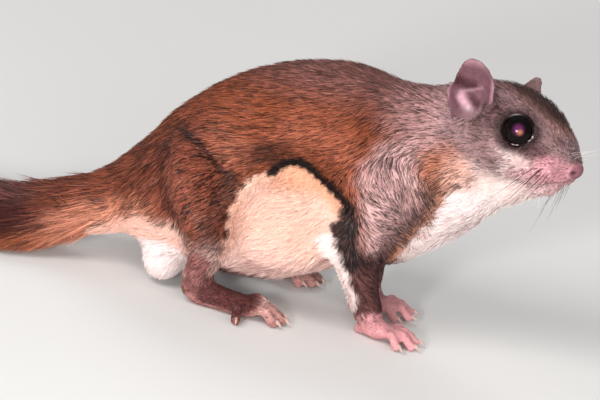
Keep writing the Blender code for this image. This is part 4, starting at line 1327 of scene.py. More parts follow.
    def paint(self) -> None:
        """Stores the markings, darkened as painted shade under the coat and a little lighter where the skin
        faces up, with the bare skin's colour and the dark lines of the face.
        """
        surface, values = self.surface, self.surface.values
        coat = MARKINGS.colours(surface.points, np.clip(values["head"], 0.0, 1.0))
        bare = np.clip(values["bare"], 0.0, 1.0)
        folded = one_sided(POSTURE.to_head(surface.points), Side.RIGHT)
        muzzle = Ball(Tone.MUZZLE, (13.0, -3.6, -7.0), (5.2, 5.6, 4.0, 0.4)).mask(folded) * values["head"]
        bare = np.maximum(bare, 0.85 * muzzle)
        pink = np.tile(Tone.PINK_SKIN.rgb, (len(bare), 1))
        pink = mix(pink, Tone.MUZZLE.rgb, muzzle[:, None])
        pad = Ball(Tone.NOSE, (16.6, 0.0, -4.6), (2.4, 3.4, 2.7, 0.3)).mask(folded)[:, None]
        pink = self.ear_colours(mix(pink, Tone.NOSE.rgb, pad))
        # Painted shade under the coat, and painted light: the skin a little lighter where it faces up.
        lift = np.clip(surface.normals[:, 2:], -1.0, 1.0)
        colour = mix(coat * (self.under_shade + 0.06 * lift), pink, bare[:, None])
        # Painted shade in the mouth's crease and in the nostrils, and the pale lip beside the mouth.
        for key, weight, tone in (
            ("mouth", 0.85, Tone.MOUTH), ("nostril", 0.95, Tone.MOUTH), ("lip", 0.6, Tone.LIP),
        ):
            colour = mix(colour, tone.rgb, np.clip(values[key] * weight, 0.0, 1.0)[:, None])
        ring = (1.0 - smooth(4.9, 6.0, values["eye"]))[:, None]
        colour = mix(colour, Tone.EYE_RING.rgb, ring)
        store_colour(self.piece, "markings", colour)

    def ear_colours(self, pink: np.ndarray) -> np.ndarray:
        """The ears' inner and outer colours over the bare skin's, with painted shade in their folds, a
        painted shadow at their foot and painted highlights on their lobes and rims.

        Args:
            pink: The bare skin's colours.

        Returns:
            The colours with both ears' drawn in.
        """
        points, normals = self.surface.points, self.surface.normals
        made = pink.copy()
        near = one_sided(POSTURE.to_head(points), Side.RIGHT)
        for side in Side:
            ear = Ear(side)
            _, _, face, _ = ear.axes()
            local = ear.local(points)
            height, across = local[:, 0], np.abs(local[:, 1])
            own = self.surface.values["ear"] * ear.about(points)
            own = np.maximum(own, self.ear_share(points) * (across < 9.0))
            toward = smooth(-0.25, 0.25, normals @ face)[:, None]
            shell = mix(Tone.EAR_BACK.rgb, Tone.EAR.rgb, toward)
            # Pale rim with a painted highlight along it.
            edge = smooth(0.80, 0.97, np.maximum(height * 0.99, across / 6.2))[:, None] * toward
            shell = mix(shell, Tone.EAR_PALE.rgb, 0.35 * edge)
            for patch in EAR_PATCHES:
                shell = mix(shell, patch.tone.rgb, patch.mask(near)[:, None] * toward)
            foot = 1.0 - smooth(0.85, 1.15, self.surface.values["foot_of_ear"])
            own = np.maximum(own, foot * ear.beyond(points, 4.5, -8.5))
            made = mix(made, shell, own[:, None])
        return made

    def dress(self) -> None:
        """Finishes the skin and joins it to the frame."""
        self.unwrap()
        self.paint()
        self.piece.data.materials.append(SkinFinish().material())
        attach(self.piece, "root")
        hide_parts(*self.flesh_nodes())


def store_colour(piece: bpy.types.Object, name: str, colours: np.ndarray) -> None:
    """Stores a colour for each vertex."""
    layer = piece.data.attributes.new(name, "FLOAT_COLOR", "POINT")
    full = np.concatenate([np.clip(colours, 0.0, 1.0), np.ones((len(colours), 1))], axis=1)
    layer.data.foreach_set("color", full.astype(np.float32).ravel())


class Bench:
    """Lays out one node tree."""

    def __init__(self, tree: bpy.types.NodeTree) -> None:
        """Starts on a tree.

        Args:
            tree: The tree to fill.
        """
        self.tree = tree

    def add(self, kind: str, x: float, y: float, **settings: object) -> bpy.types.Node:
        """A node of a kind at a place, with its properties and inputs set.

        Args:
            kind: The node's type name.
            x: Its place across.
            y: Its place up.
            **settings: Properties by name, or inputs as feed takes them with an i_ before.

        Returns:
            The node.
        """
        node = self.tree.nodes.new(kind)
        node.location = (x, y)
        for key, value in settings.items():
            if not key.startswith("i_"):
                setattr(node, key, value)
        inputs = {key[2:]: value for key, value in settings.items() if key.startswith("i_")}
        return self.feed(node, **inputs)

    def feed(self, node: bpy.types.Node, **inputs: object) -> bpy.types.Node:
        """Feeds a node's inputs, each from another node's output or with a plain value.

        Args:
            node: The node to feed.
            **inputs: What feeds each, by the input's name with _ for a space, or by its number.

        Returns:
            The node.
        """
        for key, value in inputs.items():
            socket = node.inputs[int(key) if key.isdigit() else key.replace("_", " ")]
            if isinstance(value, bpy.types.NodeSocket):
                self.tree.links.new(value, socket)
            else:
                socket.default_value = value
        return node


def new_material(name: str) -> tuple:
    """A material with its shader, and the bench to lay out its nodes."""
    made = bpy.data.materials.new(name)
    made.use_nodes = True
    return made, Bench(made.node_tree), made.node_tree.nodes["Principled BSDF"]


def mottle_group() -> bpy.types.NodeTree:
    """The uneven colour that hair and skin share: a colour, broken up at two scales."""
    found = bpy.data.node_groups.get("mottle")
    if found:
        return found
    tree = bpy.data.node_groups.new("mottle", "ShaderNodeTree")
    for name, way, kind in (
        ("Colour", "INPUT", "Color"), ("Scale", "INPUT", "Float"), ("Depth", "INPUT", "Float"),
        ("Colour", "OUTPUT", "Color"), ("Mask", "OUTPUT", "Float"),
    ):
        tree.interface.new_socket(name, in_out=way, socket_type="NodeSocket" + kind)
    bench = Bench(tree)
    given = bench.add("NodeGroupInput", -900, 0).outputs
    place = bench.add("ShaderNodeTexCoord", -900, -250)
    noise = bench.add("ShaderNodeTexNoise", -650, -200, i_Detail=4.0, i_Roughness=0.62,
                      i_Vector=place.outputs["Object"], i_Scale=given["Scale"])
    spread = bench.add("ShaderNodeMapRange", -420, -200, i_From_Min=0.3, i_From_Max=0.7,
                       i_Value=noise.outputs["Fac"]).outputs["Result"]
    lowest = bench.add("ShaderNodeMath", -420, -420, operation="SUBTRACT", i_0=1.0, i_1=given["Depth"])
    blend = bench.add("ShaderNodeMapRange", -180, -200, i_Value=spread, i_To_Min=lowest.outputs["Value"],
                      i_To_Max=1.0)
    times = bench.add("ShaderNodeVectorMath", 120, 0, operation="SCALE", i_0=given["Colour"],
                      i_Scale=blend.outputs["Result"])
    bench.add("NodeGroupOutput", 500, 0, i_Colour=times.outputs["Vector"], i_Mask=spread)
    return tree


def mottled(bench: Bench, scale: float, depth: float) -> bpy.types.Node:
    """Places the stored markings in a material, through the shared uneven colour.

    Args:
        bench: The material's bench.
        scale: How fine.
        depth: How far it darkens.

    Returns:
        The group's node.
    """
    colour = bench.add("ShaderNodeAttribute", -700, 150, attribute_name="markings")
    return bench.add("ShaderNodeGroup", -350, 100, node_tree=mottle_group(), i_Scale=scale, i_Depth=depth,
                     i_Colour=colour.outputs["Color"])


def gloss_by(bench: Bench, mottle: bpy.types.Node, dull: float, bright: float) -> bpy.types.NodeSocket:
    """A roughness that follows the uneven colour.

    Args:
        bench: The material's bench.
        mottle: The uneven colour's node.
        dull: The roughness of its dark places.
        bright: The roughness of its light places.

    Returns:
        The output to read.
    """
    shine = bench.add("ShaderNodeMapRange", -200, -60, i_To_Min=dull, i_To_Max=bright,
                      i_Value=mottle.outputs["Mask"])
    return shine.outputs["Result"]


def speckled(bench: Bench, scale: float, detail: float, low: tuple, high: tuple) -> bpy.types.NodeSocket:
    """A colour that wanders between two over the object.

    Args:
        bench: The material's bench.
        scale: How fine.
        detail: How many finer layers it has.
        low: One colour.
        high: The other.

    Returns:
        The output to read.
    """
    place = bench.add("ShaderNodeTexCoord", -900, -400)
    noise = bench.add("ShaderNodeTexNoise", -700, -400, i_Scale=scale, i_Detail=detail,
                      i_Vector=place.outputs["Object"])
    tone = bench.add("ShaderNodeMix", -500, -300, data_type="RGBA", i_6=(*low, 1.0), i_7=(*high, 1.0),
                     i_Factor=noise.outputs["Fac"])
    return tone.outputs[2]


@dataclass(frozen=True)
class SkinFinish:
    """The hide: its markings with painted shade under the coat, and moist pink skin where it is bare."""

    name: str = "squirrel_skin"
    roughness: float = 0.52
    grain: float = 1500.0

    def material(self) -> bpy.types.Material:
        """Lays out the finish."""
        made, bench, shader = new_material(self.name)
        mottle = mottled(bench, 900.0, 0.28)
        place = bench.add("ShaderNodeTexCoord", -900, -300).outputs["Object"]
        grain = bench.add("ShaderNodeTexNoise", -650, -300, i_Scale=self.grain, i_Detail=3.0, i_Vector=place)
        cells = bench.add("ShaderNodeTexVoronoi", -650, -550, i_Scale=self.grain * 1.4, i_Vector=place)
        both = bench.add("ShaderNodeMath", -400, -400, operation="MULTIPLY", i_0=grain.outputs["Fac"],
                         i_1=cells.outputs["Distance"])
        bump = bench.add("ShaderNodeBump", -200, -300, i_Strength=0.2, i_Distance=0.0001,
                         i_Height=both.outputs["Value"])
        bench.feed(shader, Base_Color=mottle.outputs["Colour"], Normal=bump.outputs["Normal"],
                   Roughness=gloss_by(bench, mottle, self.roughness + 0.12, self.roughness - 0.1),
                   Specular_IOR_Level=0.2)
        return made


@dataclass(frozen=True)
class HairFinish:
    """Hair: each tuft's own colour, darker at its root, with a soft gloss."""

    name: str
    roughness: float = 0.5
    gloss: float = 0.3
    sheen: float = 0.08

    def material(self) -> bpy.types.Material:
        """Lays out the finish, once for all pieces that use it."""
        found = bpy.data.materials.get(self.name)
        if found:
            return found
        made, bench, shader = new_material(self.name)
        mottle = mottled(bench, 1300.0, 0.22)
        bench.feed(shader, Base_Color=mottle.outputs["Colour"], Sheen_Roughness=0.4,
                   Roughness=gloss_by(bench, mottle, self.roughness + 0.1, self.roughness - 0.08),
                   Specular_IOR_Level=self.gloss, Sheen_Weight=self.sheen)
        return made


@dataclass
class Blades:
    """Tapered blades of hair as arrays: corners, a colour for each, and a place to bake."""

    cut: Cut
    corners: np.ndarray
    colours: np.ndarray
    bake: np.ndarray

    def take(self, chosen: np.ndarray) -> "Blades":
        """Some of the blades."""
        return Blades(self.cut, self.corners[chosen], self.colours[chosen], self.bake[chosen])

    def piece(self, name: str, finish: HairFinish, slot: str) -> bpy.types.Object:
        """One mesh of all the blades, joined to the frame.

        Args:
            name: The piece's name.
            finish: Its finish.
            slot: Not used.

        Returns:
            The piece.
        """
        count, size = self.corners.shape[:2]
        faces = self.cut.faces()
        mesh = bpy.data.meshes.new(name)
        mesh.vertices.add(count * size)
        mesh.vertices.foreach_set("co", to_part(self.corners).astype(np.float32).ravel())
        pattern = np.array([k for face in faces for k in face])
        mesh.loops.add(count * len(pattern))
        loops = np.arange(count)[:, None] * size + pattern
        mesh.loops.foreach_set("vertex_index", loops.astype(np.int32).ravel())
        mesh.polygons.add(count * len(faces))
        starts = np.arange(count)[:, None] * len(pattern) + np.arange(len(faces)) * 4
        mesh.polygons.foreach_set("loop_start", starts.astype(np.int32).ravel())
        mesh.update(calc_edges=True)
        piece = linked(name, mesh)
        store_colour(piece, "markings", self.colours.reshape(-1, 3))
        sheet = mesh.uv_layers.new(name="OFBake")
        across = np.array([-1.0, 1.0] * (size // 2) + [0.0]) * BAKE_REACH
        along = (self.cut.places() * 2.0 - 1.0) * BAKE_REACH
        patch = np.stack([across, along], axis=1)[pattern]
        places = np.clip(self.bake[:, None, :] + patch, 0.0, 1.0)
        sheet.data.foreach_set("uv", places.astype(np.float32).ravel())
        mesh.shade_smooth()
        mesh.materials.append(finish.material())
        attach(piece, "root")
        LOG.info("%s: %d tufts", name, count)
        return piece


def blade_corners(cut: Cut, root: np.ndarray, middle: np.ndarray, tip: np.ndarray, out: np.ndarray,
                  width: np.ndarray, twist: np.ndarray) -> np.ndarray:
    """The corners of each blade, bent through its middle.

    Args:
        cut: How each is cut.
        root: Where each starts.
        middle: Where each passes half way.
        tip: Where each ends.
        out: The outward direction at each.
        width: Each blade's full width.
        twist: How far each turns from lying flat, in radians.

    Returns:
        An array of blades, corners and coordinates.
    """
    control = middle * 2.0 - (root + tip) / 2.0
    rows = []
    for step in cut.steps:
        rows.append(root * (1 - step) ** 2 + control * (2 * step * (1 - step)) + tip * step**2)
    ahead = unit(tip - root)
    across = unit(np.cross(ahead, out))
    rise = np.cross(across, ahead)
    across = across * np.cos(twist)[:, None] + rise * np.sin(twist)[:, None]
    corners = []
    for row, share in zip(rows, cut.widths):
        half = across * (width * share / 2.0)[:, None]
        corners += [row - half, row + half]
    corners.append(tip)
    return np.stack(corners, axis=1)


@dataclass
class Coat:
    """The short coat of the body, head and limbs, in pieces by region."""

    skin: Skin
    count: int = 390000
    seed: int = 7
    clump: float = 0.34
    clump_size: int = 18
    root_depth: float = 0.12
    guard_share: float = 0.05
    guard_length: float = 1.22
    floor_gap: float = 0.15
    nose_tip: tuple = (19.0, 0.0, -3.0)

    def flow(self) -> np.ndarray:
        """The way the coat lies at each vertex of the skin."""
        surface, values = self.skin.surface, self.skin.surface.values
        points, normals = surface.points, surface.normals
        lie = values["lie"].copy()
        local = POSTURE.to_head(points)
        back = unit(local - np.array(self.nose_tip))
        back[:, 2] -= 0.15
        mirror = np.where(local[:, 1:2] > 0.0, (1.0, 1.0, 1.0), (1.0, -1.0, 1.0))
        from_eye = unit(local - np.array(POSTURE.eye_place) * mirror)
        back = back + 1.5 * (1.0 - smooth(4.4, 8.5, values["eye"]))[:, None] * from_eye
        from_ear = unit(local - np.array(Ear(Side.RIGHT).mound) * mirror)
        back = back + 1.3 * (1.0 - smooth(3.5, 8.5, values["mound"]))[:, None] * from_ear
        lie_head = POSTURE.turned(unit(back))
        folded = MARKINGS.nearside(points)
        arm = Outline(Tone.SHOULDER, ARM_FLOW, (5.0,)).mask(folded)[:, None]
        high = smooth(38.0, 52.0, points[:, 2])[:, None]
        forward = mix(np.array((0.93, 0.0, -0.42)), np.array((0.62, 0.0, -0.72)), high)
        lie = mix(unit(lie), unit(forward), arm)
        seam = Band(Tone.TAN, NECK_SEAM, (1.6, 1.8), 0.9).mask(folded)[:, None]
        lie = mix(unit(lie), unit(np.array((-0.42, 0.0, -0.88))), seam)
        lie[:, 0] -= 1.5 * values["cuff"]
        lie[:, 2] -= 0.8 * values["fringe"]
        lie = mix(lie, lie_head, values["head"][:, None])
        for side in Side:
            _, rise, _, _ = Ear(side).axes()
            own = (values["ear"] * (np.abs(Ear(side).local(points)[:, 1]) < 9.0))[:, None]
            lie = mix(lie, rise, own)
        wander = np.stack([
            np.sin(points[:, 2] * 0.31 + points[:, 0] * 0.17),
            np.sin(points[:, 0] * 0.23 + 1.3),
            np.sin(points[:, 0] * 0.29 + points[:, 2] * 0.21 + 2.1),
        ], axis=1)
        lie = lying_on(unit(lie) + 0.13 * wander, normals)
        return unit(lying_on(soften(unit(lie), values["edges"], 6), normals))

    def weights(self) -> np.ndarray:
        """How densely each vertex is covered."""
        values = self.skin.surface.values
        points = self.skin.surface.points
        density = values["density"] * smooth(4.25, 4.7, values["eye"])
        nose = apart(POSTURE.to_head(points), (16.8, 0.0, -4.6), (3.4, 4.4, 3.4))
        density *= np.where(values["head"] > 0.5, smooth(0.85, 1.15, nose), 1.0)
        density *= 1.0 - 0.9 * np.clip(values["mouth"] * 1.3, 0.0, 1.0)
        density *= smooth(0.9, 1.1, values["foot_of_ear"])
        toes = np.maximum(values["foot"] * smooth(-13.0, -7.0, points[:, 0] - 3.0 * (points[:, 1] > 0)),
                          values["hand"] * smooth(21.0, 26.0, points[:, 0] + 5.0 * (points[:, 1] > 0)))
        density *= 1.0 - 0.8 * toes
        sole = (values["foot"] + values["hand"]) * smooth(0.2, 0.6, -self.skin.surface.normals[:, 2])
        density *= 1.0 - 0.95 * np.clip(sole, 0.0, 1.0)
        for side in Side:
            _, _, face, _ = Ear(side).axes()
            own = values["ear"] * (np.abs(Ear(side).local(points)[:, 1]) < 9.0)
            inner = own * smooth(-0.1, 0.3, self.skin.surface.normals @ face)
            density *= 1.0 - 0.98 * inner
            density *= 1.0 + 2.0 * own * (1.0 - np.clip(inner, 0.0, 1.0))
        return density

    def grow(self) -> Blades:
        """Grows every tuft of the short coat from the skin."""
        rng = np.random.default_rng(self.seed)
        surface, values = self.skin.surface, self.skin.surface.values
        flow = self.flow()
        index, shares = surface.spread(self.weights(), self.count, rng)
        root = surface.read(surface.points, index, shares)
        normal = unit(surface.read(surface.normals, index, shares))
        lie = surface.read(flow, index, shares)
        lie = unit(lying_on(lie, normal))
        side = np.cross(normal, lie)
        streaky = self.streaks(root)
        stray = (rng.normal(0.0, 0.17, self.count) * (1.0 - 0.45 * streaky))[:, None]
        lie = unit(lie + side * stray)
        length = surface.read(values["hair"], index, shares) * rng.uniform(0.72, 1.18, self.count)
        length = length * (1.0 + 0.22 * streaky)
        depth = surface.read(values["depth"], index, shares) + self.root_depth
        guard = rng.random(self.count) < self.guard_share
        length = np.where(guard, length * self.guard_length, length)
        stand = 1.2 + 0.5 * surface.read(values["head"], index, shares)
        height = depth * np.where(guard, stand, rng.uniform(0.72, 1.06, self.count))
        follow = surface.read(values["follow"], index, shares)[:, None]
        half = root + lie * (length * 0.5)[:, None]
        full = root + lie * (length * 0.96)[:, None]
        at, out = surface.nearest(half)
        rise = (height * 0.66)[:, None]
        middle = mix(half + normal * rise, at + out * rise, follow)
        at, out = surface.nearest(full)
        tip = mix(full + normal * height[:, None], at + out * height[:, None], follow)
        border = surface.read(values["border"], index, shares)
        tip, middle, shade = self.gathered(root, middle, tip, border, rng)
        for corners in (middle, tip):
            corners[:, 2] = np.maximum(corners[:, 2], self.floor_gap)
        width = surface.read(values["width"], index, shares) * rng.uniform(0.8, 1.25, self.count)
        twist = rng.normal(0.0, 0.4, self.count)
        seat = root - normal * self.root_depth
        corners = blade_corners(SHORT_CUT, seat, middle, tip, normal, width, twist)
        corners[:, :, 2] = np.maximum(corners[:, :, 2], 0.05)
        head = np.clip(surface.read(values["head"], index, shares), 0.0, 1.0)
        colours = self.tints(root, tip, head, shade, guard, rng)
        sheet = column(self.skin.piece.data.uv_layers["OFBake"].data, "uv", 2)
        bake = (sheet[surface.corners[index]] * shares[:, :, None]).sum(axis=1)
        self.roots = root
        self.head_share = head
        return Blades(SHORT_CUT, corners, colours, bake)

    def streaks(self, root: np.ndarray) -> np.ndarray:
        """How strongly the coat parts into dark and pale locks."""
        folded = MARKINGS.nearside(root)
        shoulder = Ball(Tone.SHOULDER, (20.0, -16.0, 38.0), (13.0, 18.0, 20.0, 0.4)).mask(folded)
        haunch = Ball(Tone.THIGH, (-33.0, -20.0, 36.0), (17.0, 18.0, 17.0, 0.5), 0.95).mask(folded)
        return np.maximum(shoulder, haunch)

    def gathered(self, root: np.ndarray, middle: np.ndarray, tip: np.ndarray, border: np.ndarray,
                 rng: np.random.Generator) -> tuple:
        """Draws the tips of neighbours together into small locks.

        Args:
            root: The tufts' roots.
            middle: Their middles.
            tip: Their tips.
            border: How near each lies to the hollow's edge.
            rng: The seeded source of chance.

        Returns:
            The moved tips and middles, and a shade for each lock.
        """
        leaders = rng.choice(len(root), len(root) // self.clump_size, replace=False)
        tree = tree_of(root[leaders])
        found = np.array([tree.find(point)[1] for point in root.tolist()])
        leader = leaders[found]
        away = (tip[leader] - root[leader]) - (tip - root)
        offset = root[leader] - root
        pull = (self.clump + 0.28 * self.streaks(root)) * rng.uniform(0.5, 1.2, len(root))
        pull = np.minimum(pull, 0.8)[:, None] * (1.0 - 0.8 * border[:, None])
        moved = tip + pull * (away * 0.6 + offset * 0.9)
        halfway = middle + 0.35 * pull * (away * 0.3 + offset * 0.5)
        shade = rng.normal(0.0, 1.0, len(leaders))[found]
        return moved, halfway, shade

    def tints(self, root: np.ndarray, tip: np.ndarray, head: np.ndarray, shade: np.ndarray,
              guard: np.ndarray, rng: np.random.Generator) -> np.ndarray:
        """Each tuft's colours from root to tip.

        Args:
            root: The tufts' roots.
            tip: Their tips.
            head: How far each belongs to the head.
            shade: A shade shared by each lock.
            guard: Which are the longer, darker hairs.
            rng: The seeded source of chance.

        Returns:
            A colour for each corner of each tuft.
        """
        base = MARKINGS.colours(root * 0.4 + tip * 0.6, head)
        light = np.maximum(smooth(0.46, 0.62, base[:, 1]), smooth(0.76, 0.90, base[:, 0]))
        chance = rng.normal(0.0, 0.22, len(root)) * (1.0 - 0.75 * light)
        vary = np.exp(chance + shade * 0.10 * (1.0 - 0.8 * light))
        streaky = self.streaks(root)
        dark_share = (0.10 + 0.10 * streaky) * (1.0 - light) * (1.0 - 0.5 * head)
        lock_dark = smooth(0.7, 1.4, shade + 0.4 * streaky) * (1.0 - light) * (1.0 + 0.75 * streaky)
        dark = (rng.random(len(root)) < dark_share) | guard
        deep = 0.28 + 0.22 * head
        factor = np.where(dark & (light < 0.5), deep, 1.0) * (1.0 - 0.45 * lock_dark)
        pale = (rng.random(len(root)) < 0.10 + 0.10 * streaky + 0.25 * head) & (light < 0.6)
        colour = base * (vary * factor)[:, None]
        lit = base * 1.55 + np.array((0.10, 0.055, 0.045)) * (0.6 + 0.9 * streaky[:, None])
        colour = np.where(pale[:, None], colour * 0.5 + 0.5 * lit, colour)
        steps = SHORT_CUT.places()
        ramp_dark = np.interp(steps, SHADE_STEPS, (0.34, 0.70, 1.04, 1.20))
        ramp_light = np.interp(steps, SHADE_STEPS, (0.80, 0.92, 1.0, 1.04))
        ramp = mix(ramp_dark[None], ramp_light[None], light[:, None])
        return colour[:, None, :] * ramp[:, :, None]

    def build(self) -> None:
        """Makes the coat's pieces."""
        blades = self.grow()
        x, y = self.roots[:, 0], self.roots[:, 1]
        head = self.head_share > 0.5
        low = self.roots[:, 2] < 26.0
        left = POSTURE.to_head(self.roots)[:, 1] > 0.0
        groups = {
            "coat_head_right": (head & ~left, "grey_fur"),
            "coat_head_left": (head & left, "grey_fur"),
            "coat_neck": (~head & (x > 18.0), "cream_fur"),
            "coat_forequarters": (~head & (x <= 18.0) & (x > 2.0), "grey_fur"),
            "coat_flank_right": (~head & (x <= 2.0) & (x > -26.0) & (y < 0.0), "brown_fur"),
            "coat_flank_left": (~head & (x <= 2.0) & (x > -26.0) & (y >= 0.0), "brown_fur"),
            "coat_haunches": (~head & (x <= -26.0) & ~low, "brown_fur"),
            "coat_hind_legs": (~head & (x <= -26.0) & low, "brown_fur"),
        }
        for name, (chosen, slot) in groups.items():
            blades.take(chosen).piece(name, HairFinish("squirrel_hair"), slot)


@dataclass
class TailPlume:
    """The tail's long, soft hair, parted to both sides."""

    skin: Skin
    count: int = 60000
    seed: int = 11
    start: float = 0.03
    waves: float = 118.0
    overhang: float = 14.5
    hair_width: float = 0.26
    root_depth: float = 0.3

    def build(self) -> None:
        """Grows the plume in two pieces, upper and lower."""
        rng = np.random.default_rng(self.seed)
        shares = self.start + (1.0 - self.start) * rng.random(self.count) ** 0.94
        angles = rng.uniform(-math.pi, math.pi, self.count)
        angles = angles - 0.28 * np.sin(2.0 * angles)
        root, normal, ahead, across, rise = TAIL.surface(shares, angles)
        spread = between(TAIL.spread, shares)
        core = between(TAIL.core, shares)
        lateral, upward = np.cos(angles), np.sin(angles)
        long = rng.uniform(0.72, 1.04, self.count)
        out = across * (lateral * spread[:, 0] * long)[:, None]
        out = out + rise * (upward * spread[:, 1] * long)[:, None]
        start = across * (lateral * core[:, 0])[:, None] + rise * (upward * core[:, 1])[:, None]
        sweep = 8.5 + 4.0 * np.abs(lateral) * rng.uniform(0.4, 1.3, self.count)
        locks = np.sin(shares * self.waves + 1.7 * np.sign(lateral) + 2.2 * upward)
        sweep = sweep * (1.0 + 0.10 * locks)
        fullness = 0.22 + 0.78 * smooth(0.0, 0.2, shares)
        gap = (out - start) * (fullness * (1.0 + 0.10 * locks))[:, None]
        stray = rng.normal(0.0, 1.0, (self.count, 3))
        tip = root + gap + ahead * sweep[:, None] + stray
        middle = root + gap * 0.58 + ahead * (sweep * 0.42)[:, None] + stray * 0.3
        end = through(TAIL.line, 81)[-1]
        tip[:, 0] = np.maximum(tip[:, 0], end[0] - self.overhang + rng.uniform(0.0, 5.0, self.count))
        for corners in (middle, tip):
            corners[:, 2] = np.maximum(corners[:, 2], 0.25 + rng.uniform(0.0, 0.8, self.count))
        width = self.hair_width * rng.uniform(0.75, 1.25, self.count)
        twist = rng.normal(0.0, 0.5, self.count)
        seat = root - normal * self.root_depth
        corners = blade_corners(LONG_CUT, seat, middle, tip, normal, width, twist)
        corners[:, :, 2] = np.maximum(corners[:, :, 2], 0.08)
        seen = Studio().axes()[1]
        drop = (tip - root + (root - TAIL.frames(shares)[0])) @ seen
        drop = drop / (0.35 * spread[:, 0] + 0.9 * spread[:, 1])
        colours = self.tints(shares, drop, rng)
        bake = np.stack([0.02 + 0.96 * shares, 0.5 + angles / (2.1 * math.pi)], axis=1)
        blades = Blades(LONG_CUT, corners, colours, bake)
        upper = upward > 0.0
        for name, chosen in (("tail_hair_upper", upper), ("tail_hair_lower", ~upper)):
            blades.take(chosen).piece(name, HairFinish("tail_hair", 0.46, 0.35), "tail_fur")

    def tints(self, shares: np.ndarray, height: np.ndarray, rng: np.random.Generator) -> np.ndarray:
        """Each hair's colours: brown above, darkest along the side, and orange-tan below.

        Args:
            shares: Shares of the tail's length.
            height: How high each tip stands, from -1 at the lower edge to 1 at the upper.
            rng: The seeded source of chance.

        Returns:
            A colour for each corner of each hair.
        """
        height = height + 0.12 * rng.normal(0.0, 1.0, len(shares))
        top = smooth(0.0, 0.7, height)[:, None]
        low = (1.0 - smooth(-0.95, -0.5, height))[:, None]
        base = mix(mix(Tone.TAIL_SIDE.rgb, Tone.TAIL_TOP.rgb, top), Tone.TAIL_LOW.rgb, low)
        near_rump = mix(Tone.TAIL_PEACH.rgb, Tone.TAIL_BASE.rgb, smooth(-0.55, 0.05, height)[:, None])
        near = (1.0 - smooth(0.03, 0.27, shares + 0.03 * rng.normal(0.0, 1.0, len(shares))))[:, None]
        base = mix(base, near_rump, near)
        vary = np.exp(rng.normal(0.0, 0.2, len(shares)) + 0.10 * np.sin(shares * self.waves))
        dark = rng.random(len(shares)) < 0.16 * (1.0 - 0.6 * near[:, 0])
        base = base * (vary * np.where(dark, 0.45, 1.0))[:, None]
        ramp = np.interp(LONG_CUT.places(), SHADE_STEPS, (0.6, 0.85, 1.05, 1.2))
        return base[:, None, :] * ramp[None, :, None]


@dataclass(frozen=True)
class EyeFinish:
    """A wet black eye, with painted eyeshine on its pupil, a violet disc and an orange spot shown as
    emission, and a painted white glint.
    """

    name: str = "squirrel_eye"
    # Colours of the painted eyeshine and of the painted glint.
    violet: tuple = (0.2, 0.035, 0.15)
    orange: tuple = (1.0, 0.36, 0.14)
    white: tuple = (1.0, 0.72, 0.84)

    def material(self, centre: np.ndarray, glow: np.ndarray, glint: np.ndarray) -> bpy.types.Material:
        """Lays out the finish round one eye's own pupil.

        Args:
            centre: The middle of the pupil's painted violet eyeshine, in metres.
            glow: The middle of its painted orange eyeshine, in metres.
            glint: The middle of its painted white glint, in metres.

        Returns:
            The material.
        """
        made, bench, shader = new_material(self.name)
        place = bench.add("ShaderNodeTexCoord", -1100, 0)
        masks = []
        # Masks of the painted eyeshine, a violet disc and an orange spot, and of the painted white glint.
        for point, reach, soft, y in (
            (centre, 0.00125, 0.0019, 200), (glow, 0.0009, 0.0012, -100), (glint, 0.00025, 0.0006, 500),
        ):
            away = bench.add("ShaderNodeVectorMath", -900, y, operation="DISTANCE",
                             i_0=place.outputs["Object"], i_1=tuple(point))
            mask = bench.add("ShaderNodeMapRange", -700, y, interpolation_type="SMOOTHSTEP",
                             i_From_Min=reach + soft / 2, i_From_Max=reach - soft / 2,
                             i_Value=away.outputs["Value"])
            masks.append(mask.outputs["Result"])
        both = bench.add("ShaderNodeMath", -300, -80, operation="MULTIPLY", i_0=masks[0], i_1=masks[1])
        black = speckled(bench, 700.0, 2.0, (0.0008, 0.0005, 0.0005), (0.003, 0.0015, 0.0015))
        shown = black
        for x, share, tone in (
            (-300, masks[0], self.violet), (-100, both.outputs["Value"], self.orange),
            (100, masks[2], self.white),
        ):
            layer = bench.add("ShaderNodeMix", x, 200, data_type="RGBA", i_6=shown, i_7=(*tone, 1.0),
                              i_Factor=share)
            shown = layer.outputs[2]
        # The painted eyeshine and glint glow as emission over the black ball.
        bench.feed(shader, Base_Color=black, Emission_Color=shown, Emission_Strength=0.9, Roughness=0.05,
                   Specular_IOR_Level=0.12)
        return made


@dataclass(frozen=True)
class LidFinish:
    """The dark, moist rim of the lids."""

    name: str = "eyelid_rim"

    def material(self) -> bpy.types.Material:
        """Lays out the finish."""
        found = bpy.data.materials.get(self.name)
        if found:
            return found
        made, bench, shader = new_material(self.name)
        mottle = mottled(bench, 2200.0, 0.4)
        bench.feed(shader, Base_Color=mottle.outputs["Colour"], Roughness=0.7, Specular_IOR_Level=0.08)
        return made


